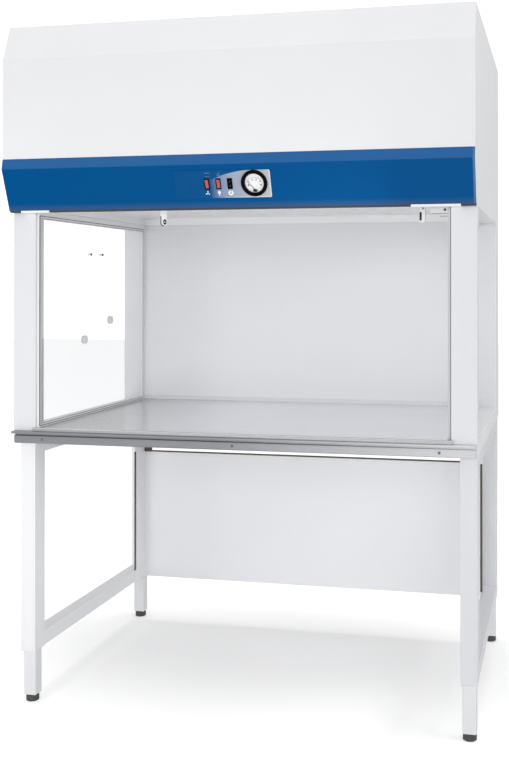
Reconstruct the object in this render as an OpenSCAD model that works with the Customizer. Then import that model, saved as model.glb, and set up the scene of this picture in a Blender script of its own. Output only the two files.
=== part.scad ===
// Vertical laminar flow hood on a stand with telescopic legs.
// X runs across the bench, +Y to the back and +Z up. The origin is on the floor, under the middle.

/* [Overall] */
// Width over the hood sides
bench_w = 1340; // [1200:10:1600]
// Depth from the fascia bend to the back panel
bench_d = 980; // [940:10:1060]
// Thickness of the folded steel sheet
sheet_t = 2; // [1.5:0.1:2.5]
// Gap left between separate panels
panel_gap = 0.5; // [0.3:0.1:1]

/* [Hood casing] */
// Height of the hood above the work opening
hood_h = 535; // [515:5:600]
// Height of the raked blue face
fascia_h = 121; // [115:1:135]
// How far the blue face rakes back at its foot
fascia_rake = 47; // [40:1:55]
// Height of the blue strip above the bend
strip_h = 28; // [20:1:36]
// How far the blue strip leans back
strip_rake = 6; // [4:1:9]
// Height of the slope at the top of the hood
slope_h = 102; // [80:2:120]
// How far that slope leans back
slope_rake = 41; // [30:1:60]
// Width of the folded flanges
flange_w = 18; // [12:1:24]
// Radius of the rolled foot of the blue face
foot_roll_r = 12; // [6:1:14]
// Lengths of the left and right brackets under the fascia
bracket_ls = [88, 133];
// Set-in of those brackets from the hood sides
bracket_insets = [37, 40];
// Height of the notches over them
bracket_notch = 5; // [3:0.5:6]

/* [Cabin] */
// Height of the work opening above the base frame
opening_h = 623; // [560:1:700]
// Setback of the front posts from the fascia bend
post_setback = 70; // [64:1:76]
// Width of a front post
post_w = 69; // [60:1:80]
// Depth of a front post
post_d = 50; // [40:1:60]
// Depth of the rear air duct
duct_d = 120; // [90:1:140]
// Thickness of the side glass
glass_t = 6; // [5:0.5:8]
// Set-back of the glass edge behind the front of the post
glass_inset = 8; // [5:1:14]
// Width of the trim that frames the glass
trim_w = 13; // [9:1:16]
// Thickness of that trim
trim_t = 4; // [3:0.5:5]
// Height of the ceiling above the work opening
ceiling_rise = 32; // [26:1:40]
// Radius of the service holes in the left glass
service_hole_r = 11; // [8:1:13]
// Radius of the plug that closes a service hole
service_plug_r = 14; // [13.5:0.5:18]
// Radius of the heads of the two studs in the left glass
stud_r = 4; // [3:0.5:5]

/* [Worktop and base] */
// Height of the base frame
base_h = 42; // [38:1:50]
// Height of its front sill
front_sill_h = 34; // [30:1:36]
// Thickness of the worktop plate
worktop_t = 3; // [2:0.5:4]
// How far the worktop nose stands in front of the posts
nose_d = 10; // [7:1:13]
// Radius of the worktop nose
nose_r = 4; // [3:0.5:6]
// Height of the upstand at the back of the worktop
upstand_h = 14; // [10:1:18]
// Depth of the front rail
rail_d = 20; // [18:1:24]
// Width of the base frame sections
sill_w = 69; // [60:1:80]

/* [Stand] */
// Height of the welded side frames
stand_h = 616; // [560:2:680]
// Set-in of the stand from the hood sides
stand_inset = 3; // [1:1:8]
// Width of a leg
leg_w = 46; // [44:1:50]
// Depth of a leg
leg_d = 60; // [50:1:66]
// Set-back of the front legs behind the front posts
leg_setback = 37; // [20:1:60]
// Wall of the leg tubes
leg_wall = 2.5; // [2:0.5:3]
// Height of the lower side rail
low_rail_h = 41; // [30:1:50]
// Height of the upper side rail and the cross rail
top_rail_h = 39; // [30:1:50]
// Side of the square telescopic tube
tube_w = 38; // [30:1:38]
// Wall of the telescopic tube
tube_wall = 3; // [2:0.5:4]
// Length of telescopic tube that shows below the leg
tube_show = 134; // [60:1:180]
// Length of telescopic tube inside the leg
tube_hidden = 260; // [200:5:320]
// Clearance of the tube in its guide
slide_gap = 0.3; // [0.2:0.1:0.5]
// Height of the guide in the leg
guide_h = 45; // [30:1:60]

/* [Feet] */
// Radius of a levelling foot
foot_r = 19; // [15:0.5:22]
// Height of a levelling foot
foot_h = 18; // [14:1:24]
// Number of grip ribs round a foot
foot_ribs = 18; // [12:1:24]
// Radius of the foot's screw
foot_screw_r = 5; // [4:0.5:6]
// Running clearance of the foot's screw
screw_gap = 0.08; // [0.04:0.01:0.1]
// Gap between the foot and the tube above it
foot_gap = 2; // [1:0.5:4]
// Length of the foot's screw
foot_screw_l = 45; // [40:1:60]
// Thickness of the nut plate in the tube's foot
nut_plate_t = 12; // [8:1:16]

/* [Rear panel] */
// Gap between the rear panel and the cross rail above it
panel_drop = 115; // [60:1:160]
// Depth of the wings folded forward at its sides
wing_d = 92; // [40:1:120]
// Thickness of the dark edge strip
edge_strip_t = 2; // [1.5:0.5:4]
// Length of the clip at the strip's left end
strip_clip_l = 27; // [20:1:36]

/* [Controls] */
// Width of the control plate
plate_w = 276; // [260:2:300]
// Height of the control plate
plate_h = 80; // [78:1:88]
// Place of the control plate's middle across the bench
plate_x = -17; // [-60:1:60]
// Thickness of the control plate
plate_t = 1.2; // [0.8:0.1:2]
// Radius of its corners
plate_r = 5; // [3:1:8]
// Distance from the fascia bend to the plate's top edge
plate_drop = 18; // [16:1:26]
// Number of rocker switches
rocker_n = 3; // [2:1:3]
// Pitch of the rocker switches
rocker_pitch = 33; // [26:1:34]
// Place of the first rocker from the plate's middle
rocker_x = -45; // [-60:1:-40]
// Distance from the plate's middle line down to the rockers and the gauge
rocker_drop = -1.5; // [-4:0.5:4]
// Width of a rocker paddle
rocker_w = 9; // [7:0.5:11]
// Length of a rocker paddle
rocker_l = 25; // [22:1:30]
// Width of the frame round a rocker
rocker_rim = 2.7; // [2:0.1:4]
// Swing of a rocker to each side of its middle
rocker_tilt = 7; // [5:1:12]
// How far a paddle stands above the plate at its middle
rocker_crown = 1.6; // [1:0.1:3]
// Radius of a rocker's pivot pins
rocker_pin_r = 1.2; // [0.8:0.1:1.5]
// Running clearance of the pivot pins
pin_gap = 0.06; // [0.03:0.01:0.1]

// Place of the silver field's left end from the plate's middle
sweep_x0 = -63; // [-80:1:-50]
// Place from which the silver field has its full height
sweep_x1 = 82; // [60:1:100]
// How far its upper edge climbs between the two
sweep_rise = 38.5; // [30:0.5:60]

/* [Gauge] */
// Place of the gauge from the plate's middle
gauge_x = 90; // [70:1:95]
// Outer radius of the gauge bezel
bezel_r = 37; // [32:0.5:38]
// Radius of the visible dial
dial_r = 27; // [22:0.5:30]
// How far the bezel stands proud
bezel_h = 6; // [5:0.5:7]
// Depth of the gauge case behind the fascia
gauge_case_d = 34; // [28:1:45]
// Distance from the dial's middle down to the needle's pivot
pivot_drop = 20; // [16:1:22]
// Half of the needle's sweep
needle_sweep = 38; // [30:1:45]
// Radius of the needle's spindle
spindle_r = 1; // [0.8:0.1:1.5]

/* [Filter] */
// Height of the filter frame
filter_h = 93; // [69:1:100]
// Pitch of the filter pleats
pleat_pitch = 16; // [12:1:24]
// Thickness of the pleated paper
pleat_t = 1.2; // [0.8:0.1:2]
// Thickness of the filter's gasket
gasket_t = 6; // [4:0.5:8]
// Rows of holes along the depth of the ceiling screen
screen_rows = 9; // [5:1:11]
// Rows of holes across the ceiling screen
screen_cols = 16; // [9:1:18]
// Radius of a hole in the ceiling screen
screen_hole_r = 9; // [5:1:12]

/* [Blower] */
// Outer radius of the blower wheel
wheel_r = 125; // [100:1:130]
// Width of the blower wheel
wheel_w = 200; // [150:2:240]
// Number of wheel blades
blade_n = 36; // [24:1:42]
// Depth of a blade along the radius
blade_d = 20; // [14:1:24]
// Thickness of a blade
blade_t = 1.6; // [1:0.1:2]
// Radius of the wheel's shaft
shaft_r = 6; // [5:0.5:8]
// Running clearance of the shaft
shaft_gap = 0.05; // [0.02:0.01:0.1]
// Radius of the motor
motor_r = 55; // [45:1:60]
// Length of the motor
motor_l = 90; // [70:1:100]
// Gap between the wheel and the scroll at the cut-off
cutoff_gap = 10; // [8:1:14]
// Growth of the scroll over one turn
scroll_growth = 48; // [40:1:52]

/* [Intake] */
// Width of the air intake in the top
intake_w = 620; // [400:10:700]
// Depth of the air intake
intake_d = 320; // [240:5:360]
// Number of louvres in the intake grille
louvre_n = 13; // [8:1:16]
// Thickness of the pre-filter pad
pad_t = 15; // [10:1:20]

/* [Lamp] */
// Radius of the lamp tube
lamp_r = 13; // [8:0.5:13]
// Length of a lamp socket
socket_l = 22; // [18:1:30]
// Place of the left hanging tab from the middle of the bench
left_tab_x = -222; // [-400:2:-100]
// Set-in of the right hanging tab from the post
right_tab_inset = 82; // [70:1:120]
// Widths of the left and right hanging tabs
tab_ws = [19, 14];
// How far the tabs hang below the hood
tab_drop = 41; // [30:1:50]
// Length of the stop plate in the right corner
stop_l = 48; // [40:1:60]
// Height of the lamp trough
trough_h = 50; // [44:1:60]

/* [Hidden] */
eps = 0.01;

// Heights from the floor up
tube_z = foot_h + foot_gap;
leg_z = tube_z + tube_show;
stand_top = leg_z + stand_h;
sill_top = stand_top + front_sill_h;
base_top = stand_top + base_h;
work_z = base_top + worktop_t;
hood_z = base_top + opening_h;
hood_top = hood_z + hood_h;
ceiling_z = hood_z + ceiling_rise;

// Places along the depth
front_y = -bench_d / 2;
back_y = bench_d / 2;
post_y = front_y + post_setback;
duct_y = back_y - duct_d;
leg_front_y = post_y + leg_setback + leg_d / 2;
leg_back_y = back_y - leg_d / 2;
leg_ys = [leg_front_y, leg_back_y];

// Places across the width
half_w = bench_w / 2;
inner_x = half_w - post_w;
leg_x = half_w - stand_inset - leg_w / 2;
leg_in = leg_x - leg_w / 2;

// Side outline of the hood: points are (y, z)
bend_pt = [front_y, hood_z + fascia_h];
foot_pt = [front_y + fascia_rake, hood_z];
strip_pt = bend_pt + [strip_rake, strip_h];
shoulder_pt = [strip_pt[0], hood_top - slope_h];
crown_pt = [shoulder_pt[0] + slope_rake, hood_top];
face_l = norm(bend_pt - foot_pt);
face_tilt = atan(fascia_rake / fascia_h);

// Filter and deck
shelf_z = ceiling_z + 6;
filter_z = shelf_z + sheet_t;
deck_z = filter_z + filter_h + gasket_t;
filter_x = inner_x - 11;
trough_back = post_y + post_d;
filter_y0 = trough_back + 8;
filter_y1 = duct_y - 8;
filter_wall = 12;

// Blower
wheel_gap = 4;
scroll_w = wheel_w + 2 * wheel_gap;
scroll_r0 = wheel_r + cutoff_gap;
axle_z = deck_z + sheet_t + wheel_r + 65;
axle_y = 0;
outlet_y0 = axle_y - scroll_r0 - scroll_growth;
outlet_y1 = axle_y - 5;
inlet_r = wheel_r - blade_d - 6;
hub_t = 4;

// Controls
plate_mid = plate_drop + plate_h / 2;
rocker_xs = [for (i = [0:rocker_n - 1]) plate_x + rocker_x + i * rocker_pitch];
rocker_s = plate_mid + rocker_drop;
rocker_box_d = 22;
plate_rim = 1.5;
gauge_neck_r = dial_r + 3;
gauge_cx = plate_x + gauge_x;
gauge_s = rocker_s;

white = [0.93, 0.94, 0.95];
blue = [0.05, 0.34, 0.58];
silver = [0.72, 0.74, 0.77];
steel = [0.70, 0.72, 0.73];
dark = [0.12, 0.12, 0.13];
red = [0.83, 0.33, 0.28];
clear = [0.85, 0.92, 0.95, 0.25];
tube_grey = [0.88, 0.89, 0.90];

// ---- Shared shapes ----

function unit(v) = v / norm(v);
function edge_normal(a, b) = let (d = unit(b - a)) [-d[1], d[0]];

// One corner of a path moved sideways by t, mitred where two edges meet
function moved_point(p, i, t) =
    let (
        before = i > 0 ? edge_normal(p[i - 1], p[i]) : edge_normal(p[0], p[1]),
        after = i < len(p) - 1 ? edge_normal(p[i], p[i + 1]) : before
    )
    p[i] + (before + after) * t / (1 + before * after);

// Outline of a sheet of thickness t folded along a path, to the left of it
function folded(p, t) = concat(p, [for (i = [len(p) - 1:-1:0]) moved_point(p, i, t)]);

function arc(c, r, a0, a1, n) = [for (i = [0:n]) c + r * [cos(a0 + (a1 - a0) * i / n), sin(a0 + (a1 - a0) * i / n)]];

// A (y, z) outline drawn out across the bench, from x0 to x1
module across(x0, x1) {
    translate([x0, 0, 0]) rotate([90, 0, 90]) linear_extrude(x1 - x0) children();
}

// A box between two corners
module block(a, b) {
    translate(a) cube(b - a);
}

// The same thing on the left and on the right
module both_sides() {
    children();
    mirror([1, 0, 0]) children();
}

// A frame whose X runs across, Y up the raked face and Z out of it; s is measured down from the bend
module on_face(x, s, h = 0) {
    translate([x, bend_pt[0], bend_pt[1]]) rotate([90 + face_tilt, 0, 0]) translate([0, -s, h]) children();
}

module round_rect(w, h, r) {
    square([w - 2 * r, h], center = true);
    square([w, h - 2 * r], center = true);
    for (sx = [-1, 1], sy = [-1, 1]) translate([sx * (w / 2 - r), sy * (h / 2 - r)]) circle(r = r, $fn = 32);
}

// A domed head of radius r and height h, along +Z
module dome_head(r, h) {
    ball_r = (r * r + h * h) / (2 * h);
    rotate_extrude($fn = 48) polygon(concat([[0, 0]], arc([0, h - ball_r], ball_r, asin((ball_r - h) / ball_r), 90, 6)));
}

// A slotted screw, its head outwards along +Z and its shank sunk behind
module pan_screw(r, h, shank_r, shank_l) {
    difference() {
        union() {
            dome_head(r, h);
            translate([0, 0, -shank_l]) cylinder(r = shank_r, h = shank_l + eps, $fn = 32);
        }
        translate([-r, -r / 8, h * 0.55]) cube([2 * r, r / 4, h]);
    }
}

// ---- Hood ----

casing_path = [
    strip_pt + [flange_w, 0], strip_pt, shoulder_pt, crown_pt,
    [back_y - sheet_t, hood_top], [back_y - sheet_t, hood_top - flange_w]
];

// Outer line of the blue sheet: strip, raked face and rolled foot
roll_c = foot_pt + foot_roll_r * [tan((90 - face_tilt) / 2), 1];
face_path = concat([strip_pt + [0, -panel_gap], bend_pt], arc(roll_c, foot_roll_r, 180 + face_tilt, 270, 5));
face_end = len(face_path) - 1;

// The hood side stops behind that sheet
side_path = concat(
    [[roll_c[0] + panel_gap, hood_z]],
    [for (i = [face_end:-1:0]) moved_point(face_path, i, sheet_t + panel_gap)],
    [[strip_pt[0] + sheet_t + panel_gap, strip_pt[1]], strip_pt, shoulder_pt, crown_pt],
    [[back_y - sheet_t, hood_top], [back_y - sheet_t, hood_z]]
);

module hood_side() {
    across(half_w - sheet_t, half_w) polygon(side_path);
    // Ledge that closes the side over the glass
    block([inner_x, post_y, hood_z], [half_w, back_y - sheet_t, hood_z + sheet_t]);
    block([inner_x, post_y, hood_z], [inner_x + sheet_t, back_y - sheet_t, hood_z + flange_w]);
}

module hood_casing() color(white) {
    difference() {
        union() {
            across(-half_w + eps, half_w - eps) polygon(folded(casing_path, -sheet_t));
            both_sides() hood_side();
        }
        // Air intake in the top
        translate([0, axle_y, hood_top]) cube([intake_w, intake_d, 3 * sheet_t], center = true);
    }
}

// Flat rear cover, screwed over the open back of the hood
module hood_back_panel() color(white) difference() {
    block([-half_w, back_y - sheet_t, hood_z], [half_w, back_y, hood_top]);
    translate([inlet_x, back_y, inlet_z])
        cube([inlet_w - 2 * inlet_lip, 4 * sheet_t, inlet_h - 2 * inlet_lip], center = true);
}

fascia_path = concat([strip_pt + [flange_w, -panel_gap]], face_path, [foot_pt + [flange_w, 0]]);
bracket_spans = [
    [-half_w + bracket_insets[0], -half_w + bracket_insets[0] + bracket_ls[0]],
    [half_w - bracket_insets[1] - bracket_ls[1], half_w - bracket_insets[1]]
];
bracket_gap = 0.4;
bracket_proud = 2;

// Blue front: one folded sheet with cut-outs for the switches and the gauge; its flanges fit between the sides
module fascia() color(blue) difference() {
    union() {
        across(-half_w, half_w) polygon(folded(face_path, sheet_t));
        across(-half_w + sheet_t + panel_gap, half_w - sheet_t - panel_gap) polygon(folded(fascia_path, sheet_t));
    }
    for (x = rocker_xs) on_face(x, rocker_s) cube([rocker_w + 2, rocker_l + 4, 6 * sheet_t], center = true);
    on_face(gauge_cx, gauge_s) cylinder(r = gauge_neck_r + 1, h = 6 * sheet_t, center = true, $fn = 64);
    for (b = bracket_spans)
        block([b[0], front_y, hood_z - eps], [b[1], foot_pt[0] + flange_w / 2, hood_z + bracket_notch]);
}

// Two small angles that hook the foot of the fascia to the frame behind it
module fascia_brackets() color(white) for (b = bracket_spans) {
    across(b[0] + bracket_gap, b[1] - bracket_gap) polygon(folded([
        foot_pt + [-bracket_proud, bracket_notch - bracket_gap],
        foot_pt + [-bracket_proud, 0],
        foot_pt + [post_setback - fascia_rake - panel_gap, 0]
    ], -sheet_t * 0.75));
}

// ---- Controls on the raked face ----

module plate_outline() {
    round_rect(plate_w, plate_h, plate_r);
}

module plate_cutouts() {
    for (x = rocker_xs) translate([x - plate_x, -rocker_drop]) square([rocker_w + 2, rocker_l + 4], center = true);
    translate([gauge_x, -rocker_drop]) circle(r = gauge_neck_r + 1, $fn = 64);
}

// Upper edge of the silver field, a curve that climbs to the plate's top over the gauge
sweep_top = plate_h / 2 - plate_rim;
sweep_steps = 14;
sweep_edge = [
    for (i = [0:sweep_steps]) let (u = i / sweep_steps)
        [sweep_x0 + (sweep_x1 - sweep_x0) * u, sweep_top - sweep_rise * pow(1 - u, 1.85)]
];

module sweep_outline() {
    intersection() {
        round_rect(plate_w - 2 * plate_rim, plate_h - 2 * plate_rim, plate_r - 1);
        polygon(concat(
            [[sweep_x0, -plate_h / 2]], sweep_edge, [[plate_w / 2, sweep_top], [plate_w / 2, -plate_h / 2]]
        ));
    }
}

module control_plate() color([0.02, 0.30, 0.50]) on_face(plate_x, plate_mid) difference() {
    linear_extrude(plate_t) difference() {
        plate_outline();
        plate_cutouts();
    }
    translate([0, 0, plate_t / 2]) linear_extrude(plate_t) sweep_outline();
}

module silver_sweep() color(silver) on_face(plate_x, plate_mid, plate_t / 2)
    linear_extrude(plate_t / 2) difference() {
        sweep_outline();
        plate_cutouts();
    }

well_gap = 0.6;
rim_t = 1.8;

// One switch body with a well for the paddle, snapped into the fascia
module switch_housing() {
    body_w = rocker_w + 1.6;
    body_l = rocker_l + 3.6;
    well_d = 8;
    difference() {
        union() {
            translate([0, 0, -rocker_box_d / 2]) cube([body_w, body_l, rocker_box_d], center = true);
            translate([0, 0, plate_t]) linear_extrude(rim_t)
                round_rect(rocker_w + 2 * rocker_rim, rocker_l + 2 * rocker_rim, rocker_rim / 2);
            translate([0, 0, -eps]) linear_extrude(plate_t + 2 * eps) square([body_w, body_l], center = true);
        }
        translate([-rocker_w / 2 - well_gap / 2, -rocker_l / 2 - well_gap, -well_d])
            cube([rocker_w + well_gap, rocker_l + 2 * well_gap, well_d + plate_t + rim_t + 1]);
        rotate([0, 90, 0]) cylinder(r = rocker_pin_r + pin_gap, h = body_w + 4, center = true, $fn = 32);
    }
}

module switch_housings() color(dark) for (x = rocker_xs) on_face(x, rocker_s) switch_housing();

// Paddle with two faces that meet in a shallow valley, on its two pivot pins
module rocker(i) {
    half_l = rocker_l / 2;
    top = plate_t + rocker_crown;
    rise = half_l * tan(rocker_tilt);
    if (i < rocker_n) on_face(rocker_xs[i], rocker_s) rotate([rocker_tilt, 0, 0]) {
        translate([-rocker_w / 2, 0, 0]) rotate([90, 0, 90]) linear_extrude(rocker_w) polygon([
            [-half_l, top + rise / 2 - 2], [-half_l + 1, top + rise / 2], [0, top - rise / 2],
            [half_l - 1, top + rise / 2], [half_l, top + rise / 2 - 2],
            [half_l - 2, 0], [5, -3], [-5, -3], [2 - half_l, 0]
        ]);
        rotate([0, 90, 0]) cylinder(r = rocker_pin_r, h = rocker_w + 1.4, center = true, $fn = 32);
    }
}

module fan_rocker() color(red) rocker(0);
module light_rocker() color(red) rocker(1);
module power_rocker() color(dark) rocker(2);

// ---- Gauge ----

dial_z = -2;
lens_t = 1.5;
lens_set = 2.5;
dial_t = 1;

// Moulded case with a bevelled bezel; its mouth is closed by the lens
module gauge_case() color(dark) on_face(gauge_cx, gauge_s, plate_t) difference() {
    rotate_extrude($fn = 96) polygon([
        [0, -gauge_case_d], [gauge_neck_r - 2, -gauge_case_d], [gauge_neck_r, -gauge_case_d + 2], [gauge_neck_r, 0],
        [bezel_r, 0], [bezel_r, bezel_h - 3], [bezel_r - 2.5, bezel_h], [dial_r + 2, bezel_h],
        [dial_r, bezel_h - lens_set],
        [dial_r, dial_z - dial_t], [0, dial_z - dial_t]
    ]);
    translate([0, -pivot_drop, dial_z - dial_t - 8]) cylinder(r = spindle_r + pin_gap, h = 10, $fn = 32);
}

module gauge_dial() color([0.96, 0.96, 0.96]) on_face(gauge_cx, gauge_s, plate_t + dial_z - dial_t) difference() {
    cylinder(r = dial_r - 0.2, h = dial_t, $fn = 96);
    translate([0, -pivot_drop, -1]) cylinder(r = spindle_r + 0.5, h = 4, $fn = 32);
}

needle_l = pivot_drop + dial_r * 0.5;

// Thin pointer with a hub and a spindle that turns in the case
module gauge_needle() color(dark) on_face(gauge_cx, gauge_s, plate_t + dial_z) translate([0, -pivot_drop, 0]) {
    translate([0, 0, -dial_t - 6]) cylinder(r = spindle_r, h = dial_t + 8, $fn = 32);
    translate([0, 0, 0.6]) cylinder(r = 3.2, h = 1.6, $fn = 32);
    rotate([0, 0, needle_sweep]) translate([0, 0, 0.8]) linear_extrude(0.6)
        polygon([[-0.8, -5], [0.8, -5], [0.35, needle_l], [-0.35, needle_l]]);
}

module gauge_lens() color(clear) on_face(gauge_cx, gauge_s, plate_t + bezel_h - lens_set - lens_t)
    cylinder(r = dial_r - 0.1, h = lens_t, $fn = 96);

// ---- Cabin ----

// Closed folded post, standing on the base frame's front sill
module post() {
    difference() {
        block([inner_x, post_y, sill_top], [half_w, post_y + post_d, hood_z]);
        block([inner_x + sheet_t, post_y + sheet_t, sill_top - eps], [half_w - sheet_t, post_y + post_d - sheet_t, hood_z - sheet_t]);
    }
}

module post_right() color(white) post();
module post_left() color(white) mirror([1, 0, 0]) post();

trim_y0 = post_y + glass_inset;
trim_lip = 2;
glass_y0 = trim_y0 + trim_lip;
glass_y1 = duct_y - panel_gap;
glass_top = hood_z + 7;
trim_in = inner_x - glass_t - trim_t;
groove_d = trim_t / 2;

// Clear opening inside the trim: (y, z) of its two corners
window_a = [trim_y0 + trim_w - 2, work_z + trim_w];
window_b = [glass_y1 - 1.8 * trim_w, hood_z - 1.4 * trim_w];

// Service holes and studs, measured from the front foot of the glass: (y, z)
plug_places = [[303, 241], [497, 297]];
// Studs, measured from the front top of the glass: (y, z)
stud_places = [[342, -117], [428, -116]];

module glass_pane() {
    block([inner_x - glass_t, glass_y0, base_top], [inner_x, glass_y1, glass_top]);
}

// Places a piece on the outer face of the left glass, its Z pointing inwards
module in_glass(p, z0) {
    translate([-inner_x, glass_y0 + p[0], z0 + p[1]]) rotate([0, 90, 0]) children();
}

module at_plugs() {
    for (p = plug_places) in_glass(p, base_top) children();
}

module at_studs() {
    for (p = stud_places) in_glass(p, glass_top) children();
}

module side_glass_right() color(clear) glass_pane();

module side_glass_left() color(clear) difference() {
    mirror([1, 0, 0]) glass_pane();
    at_plugs() cylinder(r = service_hole_r, h = 3 * glass_t, center = true, $fn = 48);
    at_studs() cylinder(r = stud_r / 2, h = 3 * glass_t, center = true, $fn = 32);
}

// Groove round the window, d away from its edge and w wide
module trim_groove(d, w) {
    difference() {
        block([trim_in - 1, window_a[0] - d - w, window_a[1] - d - w],
            [trim_in + groove_d, window_b[0] + d + w, window_b[1] + d + w]);
        block([trim_in - 2, window_a[0] - d, window_a[1] - d],
            [trim_in + groove_d + 1, window_b[0] + d, window_b[1] + d]);
    }
}

// Pressed frame that clamps the glass from inside and wraps its front edge
module glass_trim() {
    difference() {
        block([trim_in, trim_y0, base_top], [inner_x - glass_t, glass_y1, glass_top]);
        block([trim_in - 1, window_a[0], window_a[1]], [inner_x, window_b[0], window_b[1]]);
        trim_groove(2.5, 1.5);
        trim_groove(trim_w - 4, 2);
    }
    block([inner_x - glass_t - eps, trim_y0, base_top], [inner_x, glass_y0, glass_top]);
}

module glass_trim_right() color(silver) glass_trim();
module glass_trim_left() color(silver) mirror([1, 0, 0]) glass_trim();

// Push-in caps that close the service holes, with a bead on each side of the glass
module service_plugs() color([0.70, 0.71, 0.72]) at_plugs() {
    translate([0, 0, -2]) cylinder(r = service_hole_r - 0.3, h = glass_t + 4, $fn = 48);
    translate([0, 0, glass_t + 0.2]) rotate_extrude($fn = 48)
        polygon([[0, 0], [service_plug_r, 0], [service_plug_r, 1], [service_plug_r - 2, 3], [0, 3.5]]);
    translate([0, 0, -2.5]) cylinder(r = service_plug_r - 1, h = 2.3, $fn = 48);
}

// Small black studs through the glass
module glass_studs() color(dark) at_studs() {
    translate([0, 0, -2]) cylinder(r = stud_r / 2 - 0.2, h = glass_t + 4, $fn = 32);
    translate([0, 0, glass_t + 0.2]) cylinder(r = stud_r, h = 2.5, $fn = 32);
    translate([0, 0, -2.7]) cylinder(r = stud_r, h = 2.5, $fn = 32);
}

// Back wall of the work zone, hung on the duct's front returns
module back_grille() color([0.86, 0.87, 0.88]) {
    wall_x = inner_x - panel_gap;
    z0 = work_z + upstand_h;
    z1 = ceiling_z - panel_gap;
    block([-wall_x, duct_y, z0], [wall_x, duct_y + sheet_t, z1]);
    both_sides() block([wall_x - sheet_t, duct_y, z0], [wall_x, duct_y + flange_w, z1]);
    block([-wall_x, duct_y, z1 - sheet_t], [wall_x, duct_y + flange_w, z1]);
}

// Rear duct: a folded U with returns beside the back wall
duct_path = [
    [inner_x, duct_y], [half_w, duct_y], [half_w, back_y], [-half_w, back_y], [-half_w, duct_y], [-inner_x, duct_y]
];

module rear_duct() color(white) {
    translate([0, 0, base_top]) linear_extrude(opening_h) polygon(folded(duct_path, sheet_t));
    block([-half_w + eps, duct_y + flange_w, base_top], [half_w - eps, back_y - eps, base_top + sheet_t]);
}

// ---- Ceiling, filter and deck ----

screen_x = inner_x - glass_t - 2;
screen_y0 = trough_back + panel_gap;
screen_y1 = duct_y - panel_gap;
screen_skirt = 24;
screen_margin = 36;

// Folded tray with round outlets, the ceiling of the work zone
module ceiling_screen() color(white) difference() {
    block([-screen_x, screen_y0, ceiling_z - screen_skirt], [screen_x, screen_y1, ceiling_z + sheet_t]);
    block([-screen_x + sheet_t, screen_y0 + sheet_t, ceiling_z - screen_skirt - eps],
        [screen_x - sheet_t, screen_y1 - sheet_t, ceiling_z]);
    for (i = [0:screen_cols - 1], j = [0:screen_rows - 1])
        translate([
            (i - (screen_cols - 1) / 2) * 2 * (screen_x - screen_margin) / screen_cols,
            screen_y0 + screen_margin + (j + 0.5) * (screen_y1 - screen_y0 - 2 * screen_margin) / screen_rows,
            ceiling_z - 1
        ]) cylinder(r = screen_hole_r, h = sheet_t + 2, $fn = 32);
}

// Extruded filter frame, open above and below
module filter_frame() color([0.75, 0.76, 0.78]) difference() {
    block([-filter_x, filter_y0, filter_z], [filter_x, filter_y1, filter_z + filter_h]);
    block([-filter_x + filter_wall, filter_y0 + filter_wall, filter_z - 1],
        [filter_x - filter_wall, filter_y1 - filter_wall, filter_z + filter_h + 1]);
}

// Zigzag of folded paper, from one end of the frame to the other
module filter_pleats() color([0.95, 0.95, 0.92]) {
    room = 2 * (filter_x - filter_wall) - 0.4;
    n = floor(room / pleat_pitch);
    pitch = room / n;
    low = filter_z + 8;
    high = filter_z + filter_h - 8;
    // Height of the paper, cut upright through its slope
    cut_t = pleat_t * norm([pitch / 2, high - low]) / (pitch / 2);
    upper = [for (i = [0:2 * n]) [-room / 2 + i * pitch / 2, i % 2 == 0 ? low : high]];
    lower = [for (i = [2 * n:-1:0]) upper[i] - [0, cut_t]];
    translate([0, filter_y1 - filter_wall, 0]) rotate([90, 0, 0])
        linear_extrude(filter_y1 - filter_y0 - 2 * filter_wall) intersection() {
            polygon(concat(upper, lower));
            translate([-room / 2, filter_z + 2]) square([room, filter_h - 4]);
        }
}

module filter_gasket() color(dark) difference() {
    block([-filter_x, filter_y0, filter_z + filter_h], [filter_x, filter_y1, deck_z]);
    block([-filter_x + filter_wall, filter_y0 + filter_wall, filter_z],
        [filter_x - filter_wall, filter_y1 - filter_wall, deck_z + 1]);
}

// Angles on the hood sides that carry the filter
module filter_shelves() color(white) both_sides() {
    block([filter_x - 14, filter_y0, shelf_z], [half_w - sheet_t, filter_y1, filter_z]);
    block([half_w - 2 * sheet_t, filter_y0, shelf_z], [half_w - sheet_t, filter_y1, shelf_z + 1.5 * flange_w]);
}

// Deck that carries the blower and closes the pressure side over the filter
module plenum_deck() color(white) difference() {
    deck_y = bend_pt[0] + 30;
    union() {
        block([-half_w + sheet_t, deck_y, deck_z], [half_w - sheet_t, back_y - sheet_t, deck_z + sheet_t]);
        both_sides()
            block([half_w - 2 * sheet_t, deck_y, deck_z], [half_w - sheet_t, back_y - sheet_t, deck_z + flange_w]);
    }
    block([-scroll_w / 2, outlet_y0 + sheet_t, deck_z - 1], [scroll_w / 2, outlet_y1, deck_z + sheet_t + 1]);
}

// ---- Blower ----

// Radius of the scroll at angle a, growing from the cut-off round to the outlet
function scroll_r(a) = scroll_r0 + scroll_growth * a / 270;
scroll_steps = 30;

module scroll_outline(grow) {
    difference() {
        union() {
            polygon([for (i = [0:scroll_steps]) let (a = 270 * i / scroll_steps)
                (scroll_r(a) + grow) * [cos(a - 90), sin(a - 90)]]);
            // Throat down to the deck, under the widest part of the scroll
            translate([outlet_y0 - axle_y - grow, deck_z + sheet_t - axle_z])
                square([outlet_y1 - outlet_y0 + 2 * grow, axle_z - deck_z - sheet_t]);
            circle(r = scroll_r0 + grow, $fn = 72);
        }
        // Nothing below the deck
        translate([-2 * scroll_r0, deck_z + sheet_t - axle_z - 2 * scroll_r0]) square([4 * scroll_r0, 2 * scroll_r0]);
    }
}

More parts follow.
